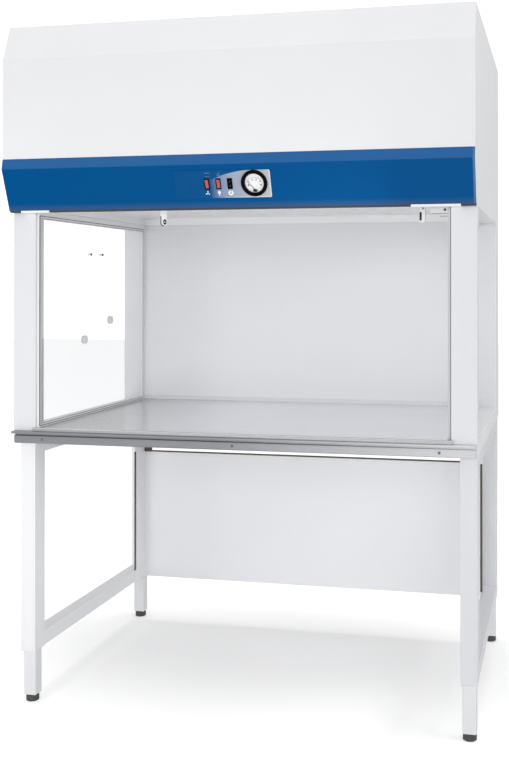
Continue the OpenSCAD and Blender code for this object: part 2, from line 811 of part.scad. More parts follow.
module blower_housing() color([0.78, 0.79, 0.80]) translate([0, axle_y, axle_z]) difference() {
    across(-scroll_w / 2 - sheet_t, scroll_w / 2 + sheet_t) scroll_outline(sheet_t);
    across(-scroll_w / 2, scroll_w / 2) scroll_outline(0);
    across(-scroll_w / 2, scroll_w / 2)
        translate([outlet_y0 - axle_y, deck_z - axle_z]) square([outlet_y1 - outlet_y0, scroll_r0 / 2]);
    rotate([0, 90, 0]) cylinder(r = inlet_r, h = scroll_w + 20, center = true, $fn = 72);
}

// Ring of forward-curved blades on a middle disc, with its shaft
module blower_wheel() color([0.70, 0.71, 0.73]) translate([0, axle_y, axle_z]) rotate([0, 90, 0]) {
    for (x = [-wheel_w / 2, wheel_w / 2 - hub_t]) translate([0, 0, x]) difference() {
        cylinder(r = wheel_r, h = hub_t, $fn = 96);
        translate([0, 0, -1]) cylinder(r = wheel_r - blade_d, h = hub_t + 2, $fn = 96);
    }
    translate([0, 0, motor_front + 6]) {
        cylinder(r = wheel_r, h = hub_t, $fn = 96);
        cylinder(r = 22, h = 22, $fn = 48);
    }
    translate([0, 0, motor_front - 40]) cylinder(r = shaft_r, h = 75, $fn = 32);
    for (i = [0:blade_n - 1]) rotate([0, 0, i * 360 / blade_n])
        translate([wheel_r - blade_d / 2 - 0.5, 0, -wheel_w / 2 + 1]) linear_extrude(wheel_w - 2) blade_section();
}

// Half-round section of one blade
module blade_section() {
    r = blade_d * 0.55;
    translate([0, -r * 0.35]) polygon(concat(arc([0, 0], r, 25, 155, 6), arc([0, 0], r - blade_t, 155, 25, 6)));
}

motor_front = 10;

// Motor body with the bearing bore for the wheel's shaft
module blower_motor() color([0.45, 0.47, 0.50])
    translate([0, axle_y, axle_z]) rotate([0, 90, 0]) translate([0, 0, motor_front - motor_l]) difference() {
        union() {
            cylinder(r = motor_r, h = motor_l - 6, $fn = 72);
            cylinder(r = 3 * shaft_r, h = motor_l, $fn = 48);
            // Cooling fins
            for (i = [0:11]) rotate([0, 0, i * 30]) translate([motor_r - 2, -1.5, 10]) cube([5, 3, motor_l - 26]);
        }
        translate([0, 0, motor_l - 44]) cylinder(r = shaft_r + shaft_gap, h = 50, $fn = 32);
    }

arm_w = 18;
arm_t = 3;

// Three-armed spider that holds the motor in the left inlet
module motor_bracket() color(steel) translate([-scroll_w / 2 - sheet_t, axle_y, axle_z]) rotate([0, -90, 0]) {
    motor_back = motor_l - motor_front - scroll_w / 2 - sheet_t;
    linear_extrude(arm_t) {
        difference() {
            circle(r = inlet_r + 18, $fn = 72);
            circle(r = inlet_r - 2, $fn = 72);
        }
        for (i = [0:2]) rotate(90 + i * 120) translate([20, -arm_w / 2]) square([inlet_r - 18, arm_w]);
    }
    translate([0, 0, motor_back]) cylinder(r = 30, h = arm_t - motor_back + 1, $fn = 48);
}

// ---- Intake ----

pad_lap = 8;

module prefilter_pad() color([0.80, 0.84, 0.86]) {
    block([-intake_w / 2 - pad_lap, axle_y - intake_d / 2 - pad_lap, hood_top - sheet_t - pad_t],
        [intake_w / 2 + pad_lap, axle_y + intake_d / 2 + pad_lap, hood_top - sheet_t]);
}

// Louvred grille let into the top, flush with the sheet
module intake_grille() color(white) {
    rim = 14;
    inner_d = intake_d - 2 * rim;
    pitch = inner_d / louvre_n;
    translate([0, axle_y, hood_top - sheet_t]) {
        difference() {
            translate([-intake_w / 2 + panel_gap, -intake_d / 2 + panel_gap, 0])
                cube([intake_w - 2 * panel_gap, intake_d - 2 * panel_gap, sheet_t]);
            translate([-intake_w / 2 + rim, -inner_d / 2, -1]) cube([intake_w - 2 * rim, inner_d, sheet_t + 2]);
        }
        for (i = [0:louvre_n - 1])
            translate([-intake_w / 2 + rim - 1, -inner_d / 2 + (i + 0.25) * pitch, 0])
                cube([intake_w - 2 * rim + 2, pitch / 2, sheet_t]);
    }
}

// ---- Lamp ----

trough_t = 1.5;
trough_x = inner_x - 12;
trough_y0 = foot_pt[0] + flange_w + 2;
trough_foot = hood_z + 4;
lamp_y = (trough_y0 + trough_back) / 2;
lamp_z = hood_z + 27;
pin_r = 1.2;
pin_l = 5.5;
lamp_l = 2 * (trough_x - trough_t - socket_l - panel_gap);

// White reflector channel behind the foot of the fascia
module lamp_trough() color(white) {
    across(-trough_x, trough_x) polygon(folded([
        [trough_y0, trough_foot], [trough_y0, hood_z + trough_h], [trough_back, hood_z + trough_h], [trough_back, trough_foot]
    ], -trough_t));
    both_sides() block([trough_x - trough_t, trough_y0 + 1, trough_foot + 2],
        [trough_x, trough_back - 1, hood_z + trough_h - 1]);
}

module lamp_tube() color([0.97, 0.98, 1]) translate([0, lamp_y, lamp_z]) rotate([0, 90, 0]) {
    cylinder(r = lamp_r, h = lamp_l, center = true, $fn = 48);
    for (s = [-1, 1]) translate([0, 0, s * lamp_l / 2]) cylinder(r = pin_r, h = 2 * pin_l, center = true, $fn = 16);
}

module lamp_sockets() color(white) both_sides() difference() {
    block([trough_x - trough_t - socket_l, lamp_y - lamp_r + 1, lamp_z - lamp_r - 1],
        [trough_x - trough_t, lamp_y + lamp_r - 1, hood_z + trough_h - trough_t]);
    translate([lamp_l / 2, lamp_y, lamp_z]) rotate([0, 90, 0]) cylinder(r = pin_r + 0.4, h = pin_l + 2.5, $fn = 32);
}

hanger_y = post_y + 36;
hanger_t = 2;
hanger_back = trough_back - trough_t;
tab_foot = hood_z - tab_drop;
eye_r = 3.5;

// Tab folded down below the trough's rear edge, round at its foot, with an eye
module hanging_tab(x, w, side) {
    difference() {
        union() {
            block([x - w / 2, hanger_y, tab_foot + w / 2], [x + w / 2, hanger_y + hanger_t, trough_foot]);
            translate([x, hanger_y, tab_foot + w / 2]) rotate([-90, 0, 0]) cylinder(r = w / 2, h = hanger_t, $fn = 32);
            block([x - w / 2, hanger_y, trough_foot - hanger_t], [x + w / 2, hanger_back, trough_foot]);
            block([x - side * w / 2 - 1, hanger_y, tab_foot + w / 2], [x - side * w / 2 + 1, hanger_y + 12, trough_foot]);
        }
        translate([x + side * w / 5, hanger_y - 1, tab_foot + 12])
            rotate([-90, 0, 0]) cylinder(r = eye_r, h = hanger_t + 2, $fn = 32);
    }
}

stop_x1 = trim_in - panel_gap;
stop_h = 20;

// Two hanging tabs, and the small stop in the right corner with its lower bar
module hanger_brackets() color(white) {
    hanging_tab(left_tab_x, tab_ws[0], 1);
    hanging_tab(inner_x - right_tab_inset, tab_ws[1], -1);
    difference() {
        block([stop_x1 - stop_l, hanger_y, trough_foot - stop_h], [stop_x1, hanger_y + 2 * hanger_t, trough_foot]);
        translate([stop_x1 - stop_l / 5, hanger_y - 1, trough_foot - stop_h / 2])
            rotate([-90, 0, 0]) cylinder(r = pin_r + 1, h = 8, $fn = 32);
    }
    block([stop_x1 - stop_l, hanger_y, trough_foot - hanger_t], [stop_x1, hanger_back, trough_foot]);
    block([stop_x1 - stop_l / 2, hanger_y + hanger_t, trough_foot - 1.4 * stop_h],
        [stop_x1, hanger_y + 2 * hanger_t, trough_foot - stop_h + eps]);
    block([stop_x1 - stop_l / 2, hanger_y, trough_foot - 1.4 * stop_h],
        [stop_x1, hanger_y + 2 * hanger_t, trough_foot - 1.2 * stop_h]);
}

// ---- Worktop, rail and base ----

top_x = trim_in - panel_gap;
nose_x = inner_x + 5;
nose_front = post_y - nose_d;
rail_top = sill_top;

nose_outline = concat(
    [[post_y, work_z], [post_y, rail_top + panel_gap], [nose_front, rail_top + panel_gap]],
    arc([nose_front + nose_r, work_z - nose_r], nose_r, 180, 90, 6)
);

// Steel plate with a rounded nose and a coved upstand at the back
module worktop() color(steel) {
    top_back = duct_y - panel_gap;
    cove_r = 5;
    stiffener_pitch = 0.38 * top_x;
    block([-top_x, post_y - eps, base_top], [top_x, top_back, work_z]);
    across(-nose_x, nose_x) polygon(nose_outline);
    across(-top_x, top_x) polygon(concat(
        [[top_back, work_z - eps], [top_back, work_z + upstand_h], [top_back - worktop_t / 2, work_z + upstand_h]],
        arc([top_back - worktop_t / 2 - cove_r, work_z + cove_r], cove_r, 0, -90, 6)
    ));
    // Folded stiffeners under the plate
    for (i = [-2:2]) block([i * stiffener_pitch - 15, post_y + sill_w + 2, base_top - 20],
        [i * stiffener_pitch + 15, duct_y - 4, base_top]);
}

// Section of the extruded rail: top flange, groove and full lower bead, from its back bottom corner
rail_h = front_sill_h;
rail_section = concat(
    [[0, 0], [-rail_d * 0.6, 0]],
    arc([-rail_d * 0.6, 5], 5, -90, -170, 5),
    [[-rail_d * 0.88, rail_h * 0.52]],
    arc([-rail_d * 0.72, rail_h * 0.58], rail_d * 0.16, 180, 90, 5),
    [[-rail_d * 0.5, rail_h * 0.70], [-rail_d * 0.5, rail_h * 0.78], [-rail_d * 0.86, rail_h * 0.82]],
    arc([-rail_d * 0.9, rail_h * 0.91], rail_h * 0.09, 250, 90, 6),
    [[0, rail_h]]
);

module front_rail() color([0.66, 0.67, 0.70]) difference() {
    union() {
        translate([0, post_y, stand_top]) across(-half_w + 12, half_w - 3) polygon(rail_section);
        translate([0, post_y, stand_top + rail_h * 0.82]) across(-half_w + 3, half_w - 3) polygon([
            [0, 0], [-rail_d, 0.2], [-rail_d, rail_h * 0.18], [0, rail_h * 0.18]]);
    }
    for (x = rail_screw_xs) translate([x, post_y + 1, rail_screw_z])
        rotate([90, 0, 0]) cylinder(r = rail_screw_r + 0.2, h = rail_d + 2, $fn = 32);
}

rail_screw_inset = 99;
rail_screw_xs = [-half_w + rail_screw_inset, 0, half_w - rail_screw_inset];
rail_screw_z = stand_top + rail_h * 0.38;
rail_screw_r = 2;
rail_face = 0.885 * rail_d;

module rail_screws() color(silver) for (x = rail_screw_xs)
    translate([x, post_y - rail_face, rail_screw_z]) rotate([90, 0, 0])
        pan_screw(2 * rail_screw_r, rail_screw_r, rail_screw_r, rail_face);

// Ring of folded channels, open below, with a ledge on which the cabin stands
module base_frame() color(white) difference() {
    union() {
        block([-half_w, post_y, stand_top], [half_w, post_y + post_d, sill_top]);
        both_sides() block([half_w - sill_w, post_y + post_d, stand_top], [half_w, back_y, base_top]);
        block([-half_w + eps, back_y - duct_d, stand_top], [half_w - eps, back_y, base_top]);
        // Cross ledge that carries the front edge of the worktop
        block([-half_w + sill_w, post_y, stand_top], [half_w - sill_w, post_y + sill_w, base_top]);
    }
    block([-half_w + sill_w - sheet_t, post_y + sheet_t, stand_top - 1],
        [half_w - sill_w + sheet_t, post_y + sill_w - sheet_t, base_top - sheet_t]);
    both_sides() {
        block([half_w - sill_w + sheet_t, post_y + post_d + sheet_t, stand_top - 1],
            [half_w - sheet_t, back_y - sheet_t, base_top - sheet_t]);
        block([half_w - sill_w - 5, post_y + sheet_t, stand_top - 1],
            [half_w - sheet_t, post_y + post_d - sheet_t, sill_top - sheet_t]);
    }
    block([-half_w + sill_w - 5, back_y - duct_d + sheet_t, stand_top - 1],
        [half_w - sill_w + 5, back_y - sheet_t, base_top - sheet_t]);
}

// ---- Stand ----

// Welded side frame: two hollow legs with an upper and a lower rail
module stand_frame() {
    y0 = leg_front_y - leg_d / 2;
    y1 = leg_back_y + leg_d / 2;
    x0 = leg_in;
    x1 = leg_in + leg_w;
    difference() {
        union() {
            for (y = leg_ys) block([x0, y - leg_d / 2, leg_z], [x1, y + leg_d / 2, stand_top]);
            block([x0, y0 + leg_d - eps, leg_z], [x1, y1 - leg_d + eps, leg_z + low_rail_h]);
            block([x0, y0 + leg_d - eps, stand_top - top_rail_h], [x1, y1 - leg_d + eps, stand_top]);
        }
        for (y = leg_ys) {
            block([x0 + leg_wall, y - leg_d / 2 + leg_wall, leg_z - 1],
                [x1 - leg_wall, y + leg_d / 2 - leg_wall, stand_top - leg_wall]);
            translate([leg_x, y + leg_d / 2, lock_z])
                rotate([90, 0, 0]) cylinder(r = bolt_r + bolt_gap, h = 3 * leg_wall, center = true, $fn = 32);
        }
        for (z = [leg_z, stand_top - top_rail_h]) let (h = z == leg_z ? low_rail_h : top_rail_h)
            block([x0 + leg_wall, y0 + leg_d - leg_wall - 1, z + leg_wall],
                [x1 - leg_wall, y1 - leg_d + leg_wall + 1, z + h - leg_wall]);
    }
}

module stand_frame_right() color(white) stand_frame();
module stand_frame_left() color(white) mirror([1, 0, 0]) stand_frame();

// Hollow rail that ties the two side frames at the back
module rear_cross_rail() color(white) difference() {
    block([-leg_in, cross_y, stand_top - top_rail_h], [leg_in, back_y, stand_top]);
    block([-leg_in - 1, cross_y + leg_wall, stand_top - top_rail_h + leg_wall],
        [leg_in + 1, back_y - leg_wall, stand_top - leg_wall]);
}

cross_y = back_y - leg_d;
panel_y = cross_y + 10;
panel_top = stand_top - top_rail_h - panel_drop;
panel_path = [
    [leg_in, panel_y - wing_d], [leg_in, panel_y], [-leg_in, panel_y], [-leg_in, panel_y - wing_d]
];

// Rear panel: one sheet with its side wings folded forward against the legs and carried up to the base
module modesty_panel() color(white) {
    translate([0, 0, leg_z]) linear_extrude(panel_top - leg_z) polygon(folded(panel_path, sheet_t));
    both_sides() block([leg_in - sheet_t, panel_y - wing_d, panel_top - eps], [leg_in, cross_y, stand_top]);
}

strip_x = leg_in - sheet_t - 0.3;
strip_lip = 3;

// Dark edge strip along the top of the panel, with a clip at its left end
module panel_edge_strip() color([0.32, 0.30, 0.26]) {
    strip_y0 = panel_y - sheet_t - edge_strip_t;
    strip_y1 = panel_y + edge_strip_t;
    difference() {
        block([-strip_x, strip_y0, panel_top - strip_lip], [strip_x, strip_y1, panel_top + edge_strip_t]);
        block([-leg_in, panel_y - sheet_t, panel_top - strip_lip - 1], [leg_in, panel_y, panel_top]);
    }
    block([-strip_x, strip_y0 - edge_strip_t, panel_top + edge_strip_t - eps],
        [-strip_x + strip_clip_l, strip_y1, panel_top + 6 * edge_strip_t]);
}

// Plastic guides in the mouths of the legs
module leg_guide() {
    hole = tube_w + 2 * slide_gap;
    difference() {
        union() {
            translate([-leg_w / 2 + leg_wall, -leg_d / 2 + leg_wall, 0])
                cube([leg_w - 2 * leg_wall, leg_d - 2 * leg_wall, guide_h]);
            translate([-leg_w / 2 + 0.5, -leg_d / 2 + 0.5, -2]) cube([leg_w - 1, leg_d - 1, 2]);
        }
        translate([-hole / 2, -hole / 2, -3]) cube([hole, hole, guide_h + 6]);
        translate([0, leg_d / 2, lock_z - leg_z]) rotate([90, 0, 0]) cylinder(r = bolt_r + bolt_gap, h = leg_d / 2, $fn = 32);
    }
}

module leg_guides() color([0.75, 0.76, 0.77]) for (sx = [-1, 1], y = leg_ys)
    translate([sx * leg_x, y, leg_z]) leg_guide();

bolt_r = 4;
bolt_gap = 0.3;
lock_z = leg_z + 26;

// Clamp bolts on the back faces of the legs; their tips press on the tubes
module lock_bolts() color(silver) for (sx = [-1, 1], y = leg_ys) {
    depth = leg_d / 2 - tube_w / 2 - slide_gap;
    translate([sx * leg_x, y + leg_d / 2, lock_z]) rotate([-90, 0, 0]) {
        translate([0, 0, -depth]) cylinder(r = bolt_r, h = depth, $fn = 32);
        if (y < 0) dome_head(1.75 * bolt_r, bolt_r);
    }
}

// Square telescopic tube with a nut plate in its foot for the levelling screw
module telescopic_leg(sx, y) {
    bore = tube_w - 2 * tube_wall;
    tube_l = tube_show + tube_hidden;
    translate([sx * leg_x, y, tube_z]) difference() {
        translate([-tube_w / 2, -tube_w / 2, 0]) cube([tube_w, tube_w, tube_l]);
        translate([-bore / 2, -bore / 2, nut_plate_t]) cube([bore, bore, tube_l]);
        translate([0, 0, -1]) cylinder(r = foot_screw_r + screw_gap, h = nut_plate_t + 2, $fn = 32);
    }
}

module telescopic_leg_front_left() color(tube_grey) telescopic_leg(-1, leg_front_y);
module telescopic_leg_front_right() color(tube_grey) telescopic_leg(1, leg_front_y);
module telescopic_leg_rear_left() color(tube_grey) telescopic_leg(-1, leg_back_y);
module telescopic_leg_rear_right() color(tube_grey) telescopic_leg(1, leg_back_y);

// Ribbed levelling foot on its screw
module levelling_foot(sx, y) translate([sx * leg_x, y, 0]) {
    difference() {
        rotate_extrude($fn = 72) polygon([
            [0, 0], [foot_r - 2, 0], [foot_r, 2], [foot_r, foot_h - 3], [foot_r - 2.5, foot_h], [0, foot_h]
        ]);
        for (i = [0:foot_ribs - 1]) rotate([0, 0, i * 360 / foot_ribs])
            translate([foot_r + 0.3, 0, 4]) cylinder(r = 1.6, h = foot_h, $fn = 24);
    }
    translate([0, 0, foot_h - eps]) cylinder(r = foot_screw_r, h = foot_screw_l, $fn = 32);
}

module foot_front_left() color(dark) levelling_foot(-1, leg_front_y);
module foot_front_right() color(dark) levelling_foot(1, leg_front_y);
module foot_rear_left() color(dark) levelling_foot(-1, leg_back_y);
module foot_rear_right() color(dark) levelling_foot(1, leg_back_y);

// ---- Mains inlet ----

inlet_w = 50;
inlet_h = 28;
inlet_lip = 5;
inlet_x = half_w - 120;
inlet_z = hood_z + 260;
inlet_depth = 22;

// Three-pin socket let into the back panel; its flange lies flush with the panel's face
module mains_inlet() color(dark) translate([inlet_x, back_y, inlet_z]) difference() {
    union() {
        translate([0, -sheet_t / 2, 0])
            cube([inlet_w - 2 * inlet_lip - 0.4, sheet_t, inlet_h - 2 * inlet_lip - 0.4], center = true);
        translate([-inlet_w / 2, -sheet_t - 28, -inlet_h / 2]) cube([inlet_w, 28, inlet_h]);
    }
    difference() {
        translate([0, -inlet_depth / 2 + 1, 0]) cube([27, inlet_depth + 2, 15], center = true);
        for (x = [-7, 0, 7]) translate([x - 1, -inlet_depth, x == 0 ? 1 : -3]) cube([2, 14, 4]);
    }
}

// ---- Nodes ----

hood_casing();
hood_back_panel();
fascia();
fascia_brackets();
control_plate();
silver_sweep();
switch_housings();
fan_rocker();
light_rocker();
power_rocker();
gauge_case();
gauge_dial();
gauge_needle();
gauge_lens();
post_left();
post_right();
side_glass_left();
side_glass_right();
glass_trim_left();
glass_trim_right();
service_plugs();
glass_studs();
back_grille();
rear_duct();
ceiling_screen();
filter_frame();
filter_pleats();
filter_gasket();
filter_shelves();
plenum_deck();
blower_housing();
blower_wheel();
blower_motor();
motor_bracket();
prefilter_pad();
intake_grille();
lamp_trough();
lamp_tube();
lamp_sockets();
hanger_brackets();
worktop();
front_rail();
rail_screws();
base_frame();
stand_frame_left();
stand_frame_right();
rear_cross_rail();
modesty_panel();
panel_edge_strip();
leg_guides();
lock_bolts();
telescopic_leg_front_left();
telescopic_leg_front_right();
telescopic_leg_rear_left();
telescopic_leg_rear_right();
foot_front_left();
foot_front_right();
foot_rear_left();
foot_rear_right();
mains_inlet();
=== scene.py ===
# Vertical laminar flow hood on a stand with telescopic legs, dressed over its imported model.
import math

import bpy
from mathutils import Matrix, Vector


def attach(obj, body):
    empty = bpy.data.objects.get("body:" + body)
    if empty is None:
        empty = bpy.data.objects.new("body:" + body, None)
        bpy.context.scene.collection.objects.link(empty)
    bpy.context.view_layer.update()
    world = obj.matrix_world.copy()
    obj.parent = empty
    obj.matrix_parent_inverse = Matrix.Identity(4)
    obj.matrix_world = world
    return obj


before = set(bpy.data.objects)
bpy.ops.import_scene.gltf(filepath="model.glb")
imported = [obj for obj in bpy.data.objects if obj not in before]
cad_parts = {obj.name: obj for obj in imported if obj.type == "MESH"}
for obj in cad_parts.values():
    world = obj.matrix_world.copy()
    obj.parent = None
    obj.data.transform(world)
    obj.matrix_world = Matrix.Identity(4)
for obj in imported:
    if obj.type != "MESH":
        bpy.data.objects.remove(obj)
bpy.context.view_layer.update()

# ---- Camera --------------------------------------------------------------------------------
# A long lens at chest height, a little to the right of the bench and turned back towards it.
# The frame is shifted rather than tilted, so that the uprights stay upright.

frame_px = 760.0
shift_across_px, shift_up_px = -80.0, -99.2
camera_data = bpy.data.cameras.new("camera")
camera_data.sensor_width = 36.0
camera_data.lens = 49.82
camera_data.shift_x = shift_across_px / frame_px
camera_data.shift_y = shift_up_px / frame_px
camera_data.clip_start = 0.05
camera_data.clip_end = 60.0
camera = bpy.data.objects.new("camera", camera_data)
camera.location = (0.893, -3.210, 1.2254)
camera.rotation_euler = (math.radians(90.246), 0.0, math.radians(12.30))
bpy.context.scene.collection.objects.link(camera)
bpy.context.scene.camera = camera
bpy.context.scene.view_settings.view_transform = "Standard"

# ---- Studio --------------------------------------------------------------------------------
# A white floor that keeps the soft shadows, its glow dimmed under the bench as a painted shadow, and an
# even white surround that gloss sees dimmer.
# Large soft lamps stand in front, on the right and overhead, and three small ones light the
# left leg, the inside of the left stand and the left glass.


def feed(tree, value, socket):
    """Give a socket a plain value, or link it to another node's output."""
    if isinstance(value, bpy.types.NodeSocket):
        tree.links.new(value, socket)
    else:
        socket.default_value = value


def worked_out(tree, operation, *values):
    """Result of one sum or comparison."""
    node = tree.nodes.new("ShaderNodeMath")
    node.operation = operation
    for value, socket in zip(values, node.inputs):
        feed(tree, value, socket)
    return node.outputs[0]


def graded(tree, value, start, end, low=0.0, high=1.0, easing="LINEAR"):
    """Run from low to high while the value runs from start to end."""
    node = tree.nodes.new("ShaderNodeMapRange")
    node.interpolation_type = easing
    for name, number in (("From Min", start), ("From Max", end), ("To Min", low), ("To Max", high)):
        node.inputs[name].default_value = number
    tree.links.new(value, node.inputs["Value"])
    return node.outputs["Result"]


world = bpy.data.worlds.new("studio")
bpy.context.scene.world = world
world.use_nodes = True
tree = world.node_tree
surround = tree.nodes["Background"]
surround.inputs["Color"].default_value = (1.0, 1.0, 1.0, 1.0)
way = tree.nodes.new("ShaderNodeTexCoord")
axes = tree.nodes.new("ShaderNodeSeparateXYZ")
tree.links.new(way.outputs["Generated"], axes.inputs[0])
sky = graded(tree, axes.outputs["Z"], start=0.0, end=0.8, low=0.05, high=0.55, easing="SMOOTHSTEP")
ray = tree.nodes.new("ShaderNodeLightPath").outputs
seen = worked_out(tree, "MAXIMUM", ray["Is Camera Ray"], ray["Is Transmission Ray"])
for_eye = graded(tree, seen, start=0.0, end=1.0, low=0.50, high=1.3)
strength = worked_out(tree, "MULTIPLY_ADD", ray["Is Glossy Ray"], sky, for_eye)
tree.links.new(strength, surround.inputs["Strength"])

bpy.ops.object.select_all(action="DESELECT")
bpy.ops.mesh.primitive_plane_add(size=1.0, location=(0.0, 4.0, 0.0))
floor = bpy.context.object
floor.name = "floor"
floor.scale = (40.0, 30.0, 1.0)
bpy.ops.object.transform_apply(location=True, rotation=True, scale=True)
floor_mat = bpy.data.materials.new("floor_white")
floor_mat.use_nodes = True
tree = floor_mat.node_tree
tree.nodes.clear()
place = tree.nodes.new("ShaderNodeTexCoord")
shadow_core = tree.nodes.new("ShaderNodeMapping")
shadow_core.inputs["Location"].default_value = (0.0, -0.30, 0.0)
shadow_core.inputs["Scale"].default_value = (0.77, 1.33, 1.0)
away = tree.nodes.new("ShaderNodeVectorMath")
away.operation = "LENGTH"
matt = tree.nodes.new("ShaderNodeBsdfDiffuse")
matt.inputs["Color"].default_value = (0.84, 0.84, 0.84, 1.0)
lift = tree.nodes.new("ShaderNodeEmission")
lift.inputs["Color"].default_value = (1.0, 1.0, 1.0, 1.0)
lifted = tree.nodes.new("ShaderNodeAddShader")
by_ray = tree.nodes.new("ShaderNodeMixShader")
out = tree.nodes.new("ShaderNodeOutputMaterial")
tree.links.new(place.outputs["Object"], shadow_core.inputs["Vector"])
tree.links.new(shadow_core.outputs["Vector"], away.inputs[0])
# The glow is weaker in a patch under the bench, a painted shadow on the floor.
shadow_shaped_glow = graded(tree, away.outputs["Value"], 0.15, 1.35, low=0.22, high=0.60, easing="SMOOTHSTEP")
tree.links.new(shadow_shaped_glow, lift.inputs["Strength"])
tree.links.new(matt.outputs[0], lifted.inputs[0])
tree.links.new(lift.outputs[0], lifted.inputs[1])
ray = tree.nodes.new("ShaderNodeLightPath").outputs
seen = worked_out(tree, "MAXIMUM", ray["Is Camera Ray"], ray["Is Transmission Ray"])
tree.links.new(seen, by_ray.inputs[0])
tree.links.new(matt.outputs[0], by_ray.inputs[1])
tree.links.new(lifted.outputs[0], by_ray.inputs[2])
tree.links.new(by_ray.outputs[0], out.inputs["Surface"])
floor.data.materials.append(floor_mat)


def softbox(name, place, aim, width, height, power):
    lamp_data = bpy.data.lights.new(name, "AREA")
    lamp_data.shape = "RECTANGLE"
    lamp_data.size = width
    lamp_data.size_y = height
    lamp_data.energy = power
    lamp = bpy.data.objects.new(name, lamp_data)
    lamp.location = place
    lamp.rotation_euler = (Vector(aim) - Vector(place)).to_track_quat("-Z", "Y").to_euler()
    lamp.visible_glossy = False
    lamp.visible_camera = False
    bpy.context.scene.collection.objects.link(lamp)


softbox("key", (-0.8, -5.5, 1.30), (0.0, 0.0, 0.95), 3.4, 2.5, 87.0)
softbox("low", (-1.5, -2.3, 0.36), (-0.45, 0.0, 0.42), 1.2, 0.5, 4.4)
softbox("inner", (0.45, -0.30, 0.40), (-0.63, -0.10, 0.42), 0.3, 0.45, 0.65)
softbox("window", (0.45, -0.62, 1.12), (-0.60, -0.38, 1.12), 0.15, 0.5, 0.6)
softbox("fill", (4.4, -1.0, 2.3), (0.0, 0.0, 1.5), 2.6, 2.0, 44.0)
softbox("overhead", (0.0, 0.45, 4.5), (0.0, 0.3, 0.0), 2.6, 2.0, 82.0)

# ---- Painted sheet steel -------------------------------------------------------------------
# Folded and welded sheet with an electrostatic powder coat, baked to a satin skin with a fine orange
# peel; its tone drifts a little at random. The screens and brackets under the hood, the left stand and
# the rear panel get lighter copies of the white, painted light; the right stand and the posts get darker
# copies, painted shade.


def new_finish(name):
    """A new finish, its node tree and the piece's own coordinates."""
    mat = bpy.data.materials.new(name)
    mat.use_nodes = True
    place = mat.node_tree.nodes.new("ShaderNodeTexCoord")
    return mat, mat.node_tree, place.outputs["Object"]


def noise(tree, vector, scale, detail=2.0, roughness=0.5):
    """Clouds, or the grain of a skin where the scale is high."""
    node = tree.nodes.new("ShaderNodeTexNoise")
    node.inputs["Scale"].default_value = scale
    node.inputs["Detail"].default_value = detail
    node.inputs["Roughness"].default_value = roughness
    tree.links.new(vector, node.inputs["Vector"])
    return node.outputs["Fac"]


def shade_of(colour, share):
    """The colour made lighter or darker, with its alpha."""
    return [min(1.0, channel * share) for channel in colour] + [1.0]


def skin_of(mat):
    """Everything that can be set on a finish's skin."""
    return mat.node_tree.nodes["Principled BSDF"].inputs


def recolour(mat, colour):
    mat.node_tree.links.new(colour, skin_of(mat)["Base Color"])


def lay_skin(mat, tint, relief, shades, roughness, spread, strength, height):
    """Colour and gloss that follow one pattern, and a relief that follows another."""
    tree = mat.node_tree
    tone = tree.nodes.new("ShaderNodeValToRGB")
    for stop, shade in zip(tone.color_ramp.elements, shades):
        stop.color = shade
    tree.links.new(tint, tone.inputs["Fac"])
    recolour(mat, tone.outputs["Color"])
    gloss = graded(tree, tint, 0.0, 1.0, low=roughness - spread, high=roughness + spread)
    tree.links.new(gloss, skin_of(mat)["Roughness"])
    bump = tree.nodes.new("ShaderNodeBump")
    bump.inputs["Strength"].default_value = strength
    bump.inputs["Distance"].default_value = height
    tree.links.new(relief, bump.inputs["Height"])
    tree.links.new(bump.outputs["Normal"], skin_of(mat)["Normal"])
    return tone.color_ramp.elements


def powder_coat(name, colour, roughness=0.38, drift=0.015, peel=0.12):
    mat, tree, place = new_finish(name)
    batch = noise(tree, place, scale=2.4, detail=3.0)
    grain = noise(tree, place, scale=620.0, detail=1.5)
    shades = shade_of(colour, 1.0 - drift), shade_of(colour, 1.0 + drift)
    stops = lay_skin(mat, batch, grain, shades, roughness, spread=0.05, strength=peel, height=0.0002)
    stops[0].position = 0.3
    stops[1].position = 0.7
    skin_of(mat)["Specular IOR Level"].default_value = 0.35
    return mat


def paint(mat, *names):
    for name in names:
        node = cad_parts[name]
        for slot in node.material_slots:
            slot.material = mat


def ease_edges(width, *names):
    for name in names:
        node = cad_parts[name]
        weld = node.modifiers.new("weld", "WELD")
        weld.merge_threshold = 0.00002
        ease = node.modifiers.new("ease", "BEVEL")
        ease.width = width
        ease.segments = 2
        ease.limit_method = "ANGLE"
        ease.angle_limit = math.radians(40.0)
        ease.harden_normals = True


corners = ("front_left", "front_right", "rear_left", "rear_right")
paint(
    powder_coat("white_coat", (0.885, 0.89, 0.91)),
    "hood_casing", "hood_back_panel", "rear_duct", "filter_shelves", "plenum_deck",
    "intake_grille", "base_frame", "rear_cross_rail",
)
# Painted light and shade: lighter whites for the pieces under the hood, the left stand and the panel,
# darker ones for the right stand and the posts.
paint(
    powder_coat("lit_white_coat", (0.945, 0.945, 0.955)),
    "ceiling_screen", "lamp_trough", "hanger_brackets", "fascia_brackets",
)
paint(powder_coat("left_stand_lit_coat", (0.93, 0.935, 0.955)), "stand_frame_left")
paint(powder_coat("right_stand_shaded_coat", (0.79, 0.795, 0.82)), "stand_frame_right")
paint(powder_coat("post_shaded_coat", (0.82, 0.825, 0.85)), "post_left", "post_right")
paint(powder_coat("panel_lit_coat", (0.93, 0.935, 0.955)), "modesty_panel")
tube_coat = powder_coat("tube_coat", (0.86, 0.865, 0.885), roughness=0.42)
paint(tube_coat, *["telescopic_leg_" + corner for corner in corners])
ease_edges(0.0012, "post_left", "post_right", "stand_frame_left", "stand_frame_right", "base_frame")
ease_edges(0.0008, "hood_casing", "modesty_panel", "hanger_brackets", "hood_back_panel")
ease_edges(0.0015, *["telescopic_leg_" + corner for corner in corners])
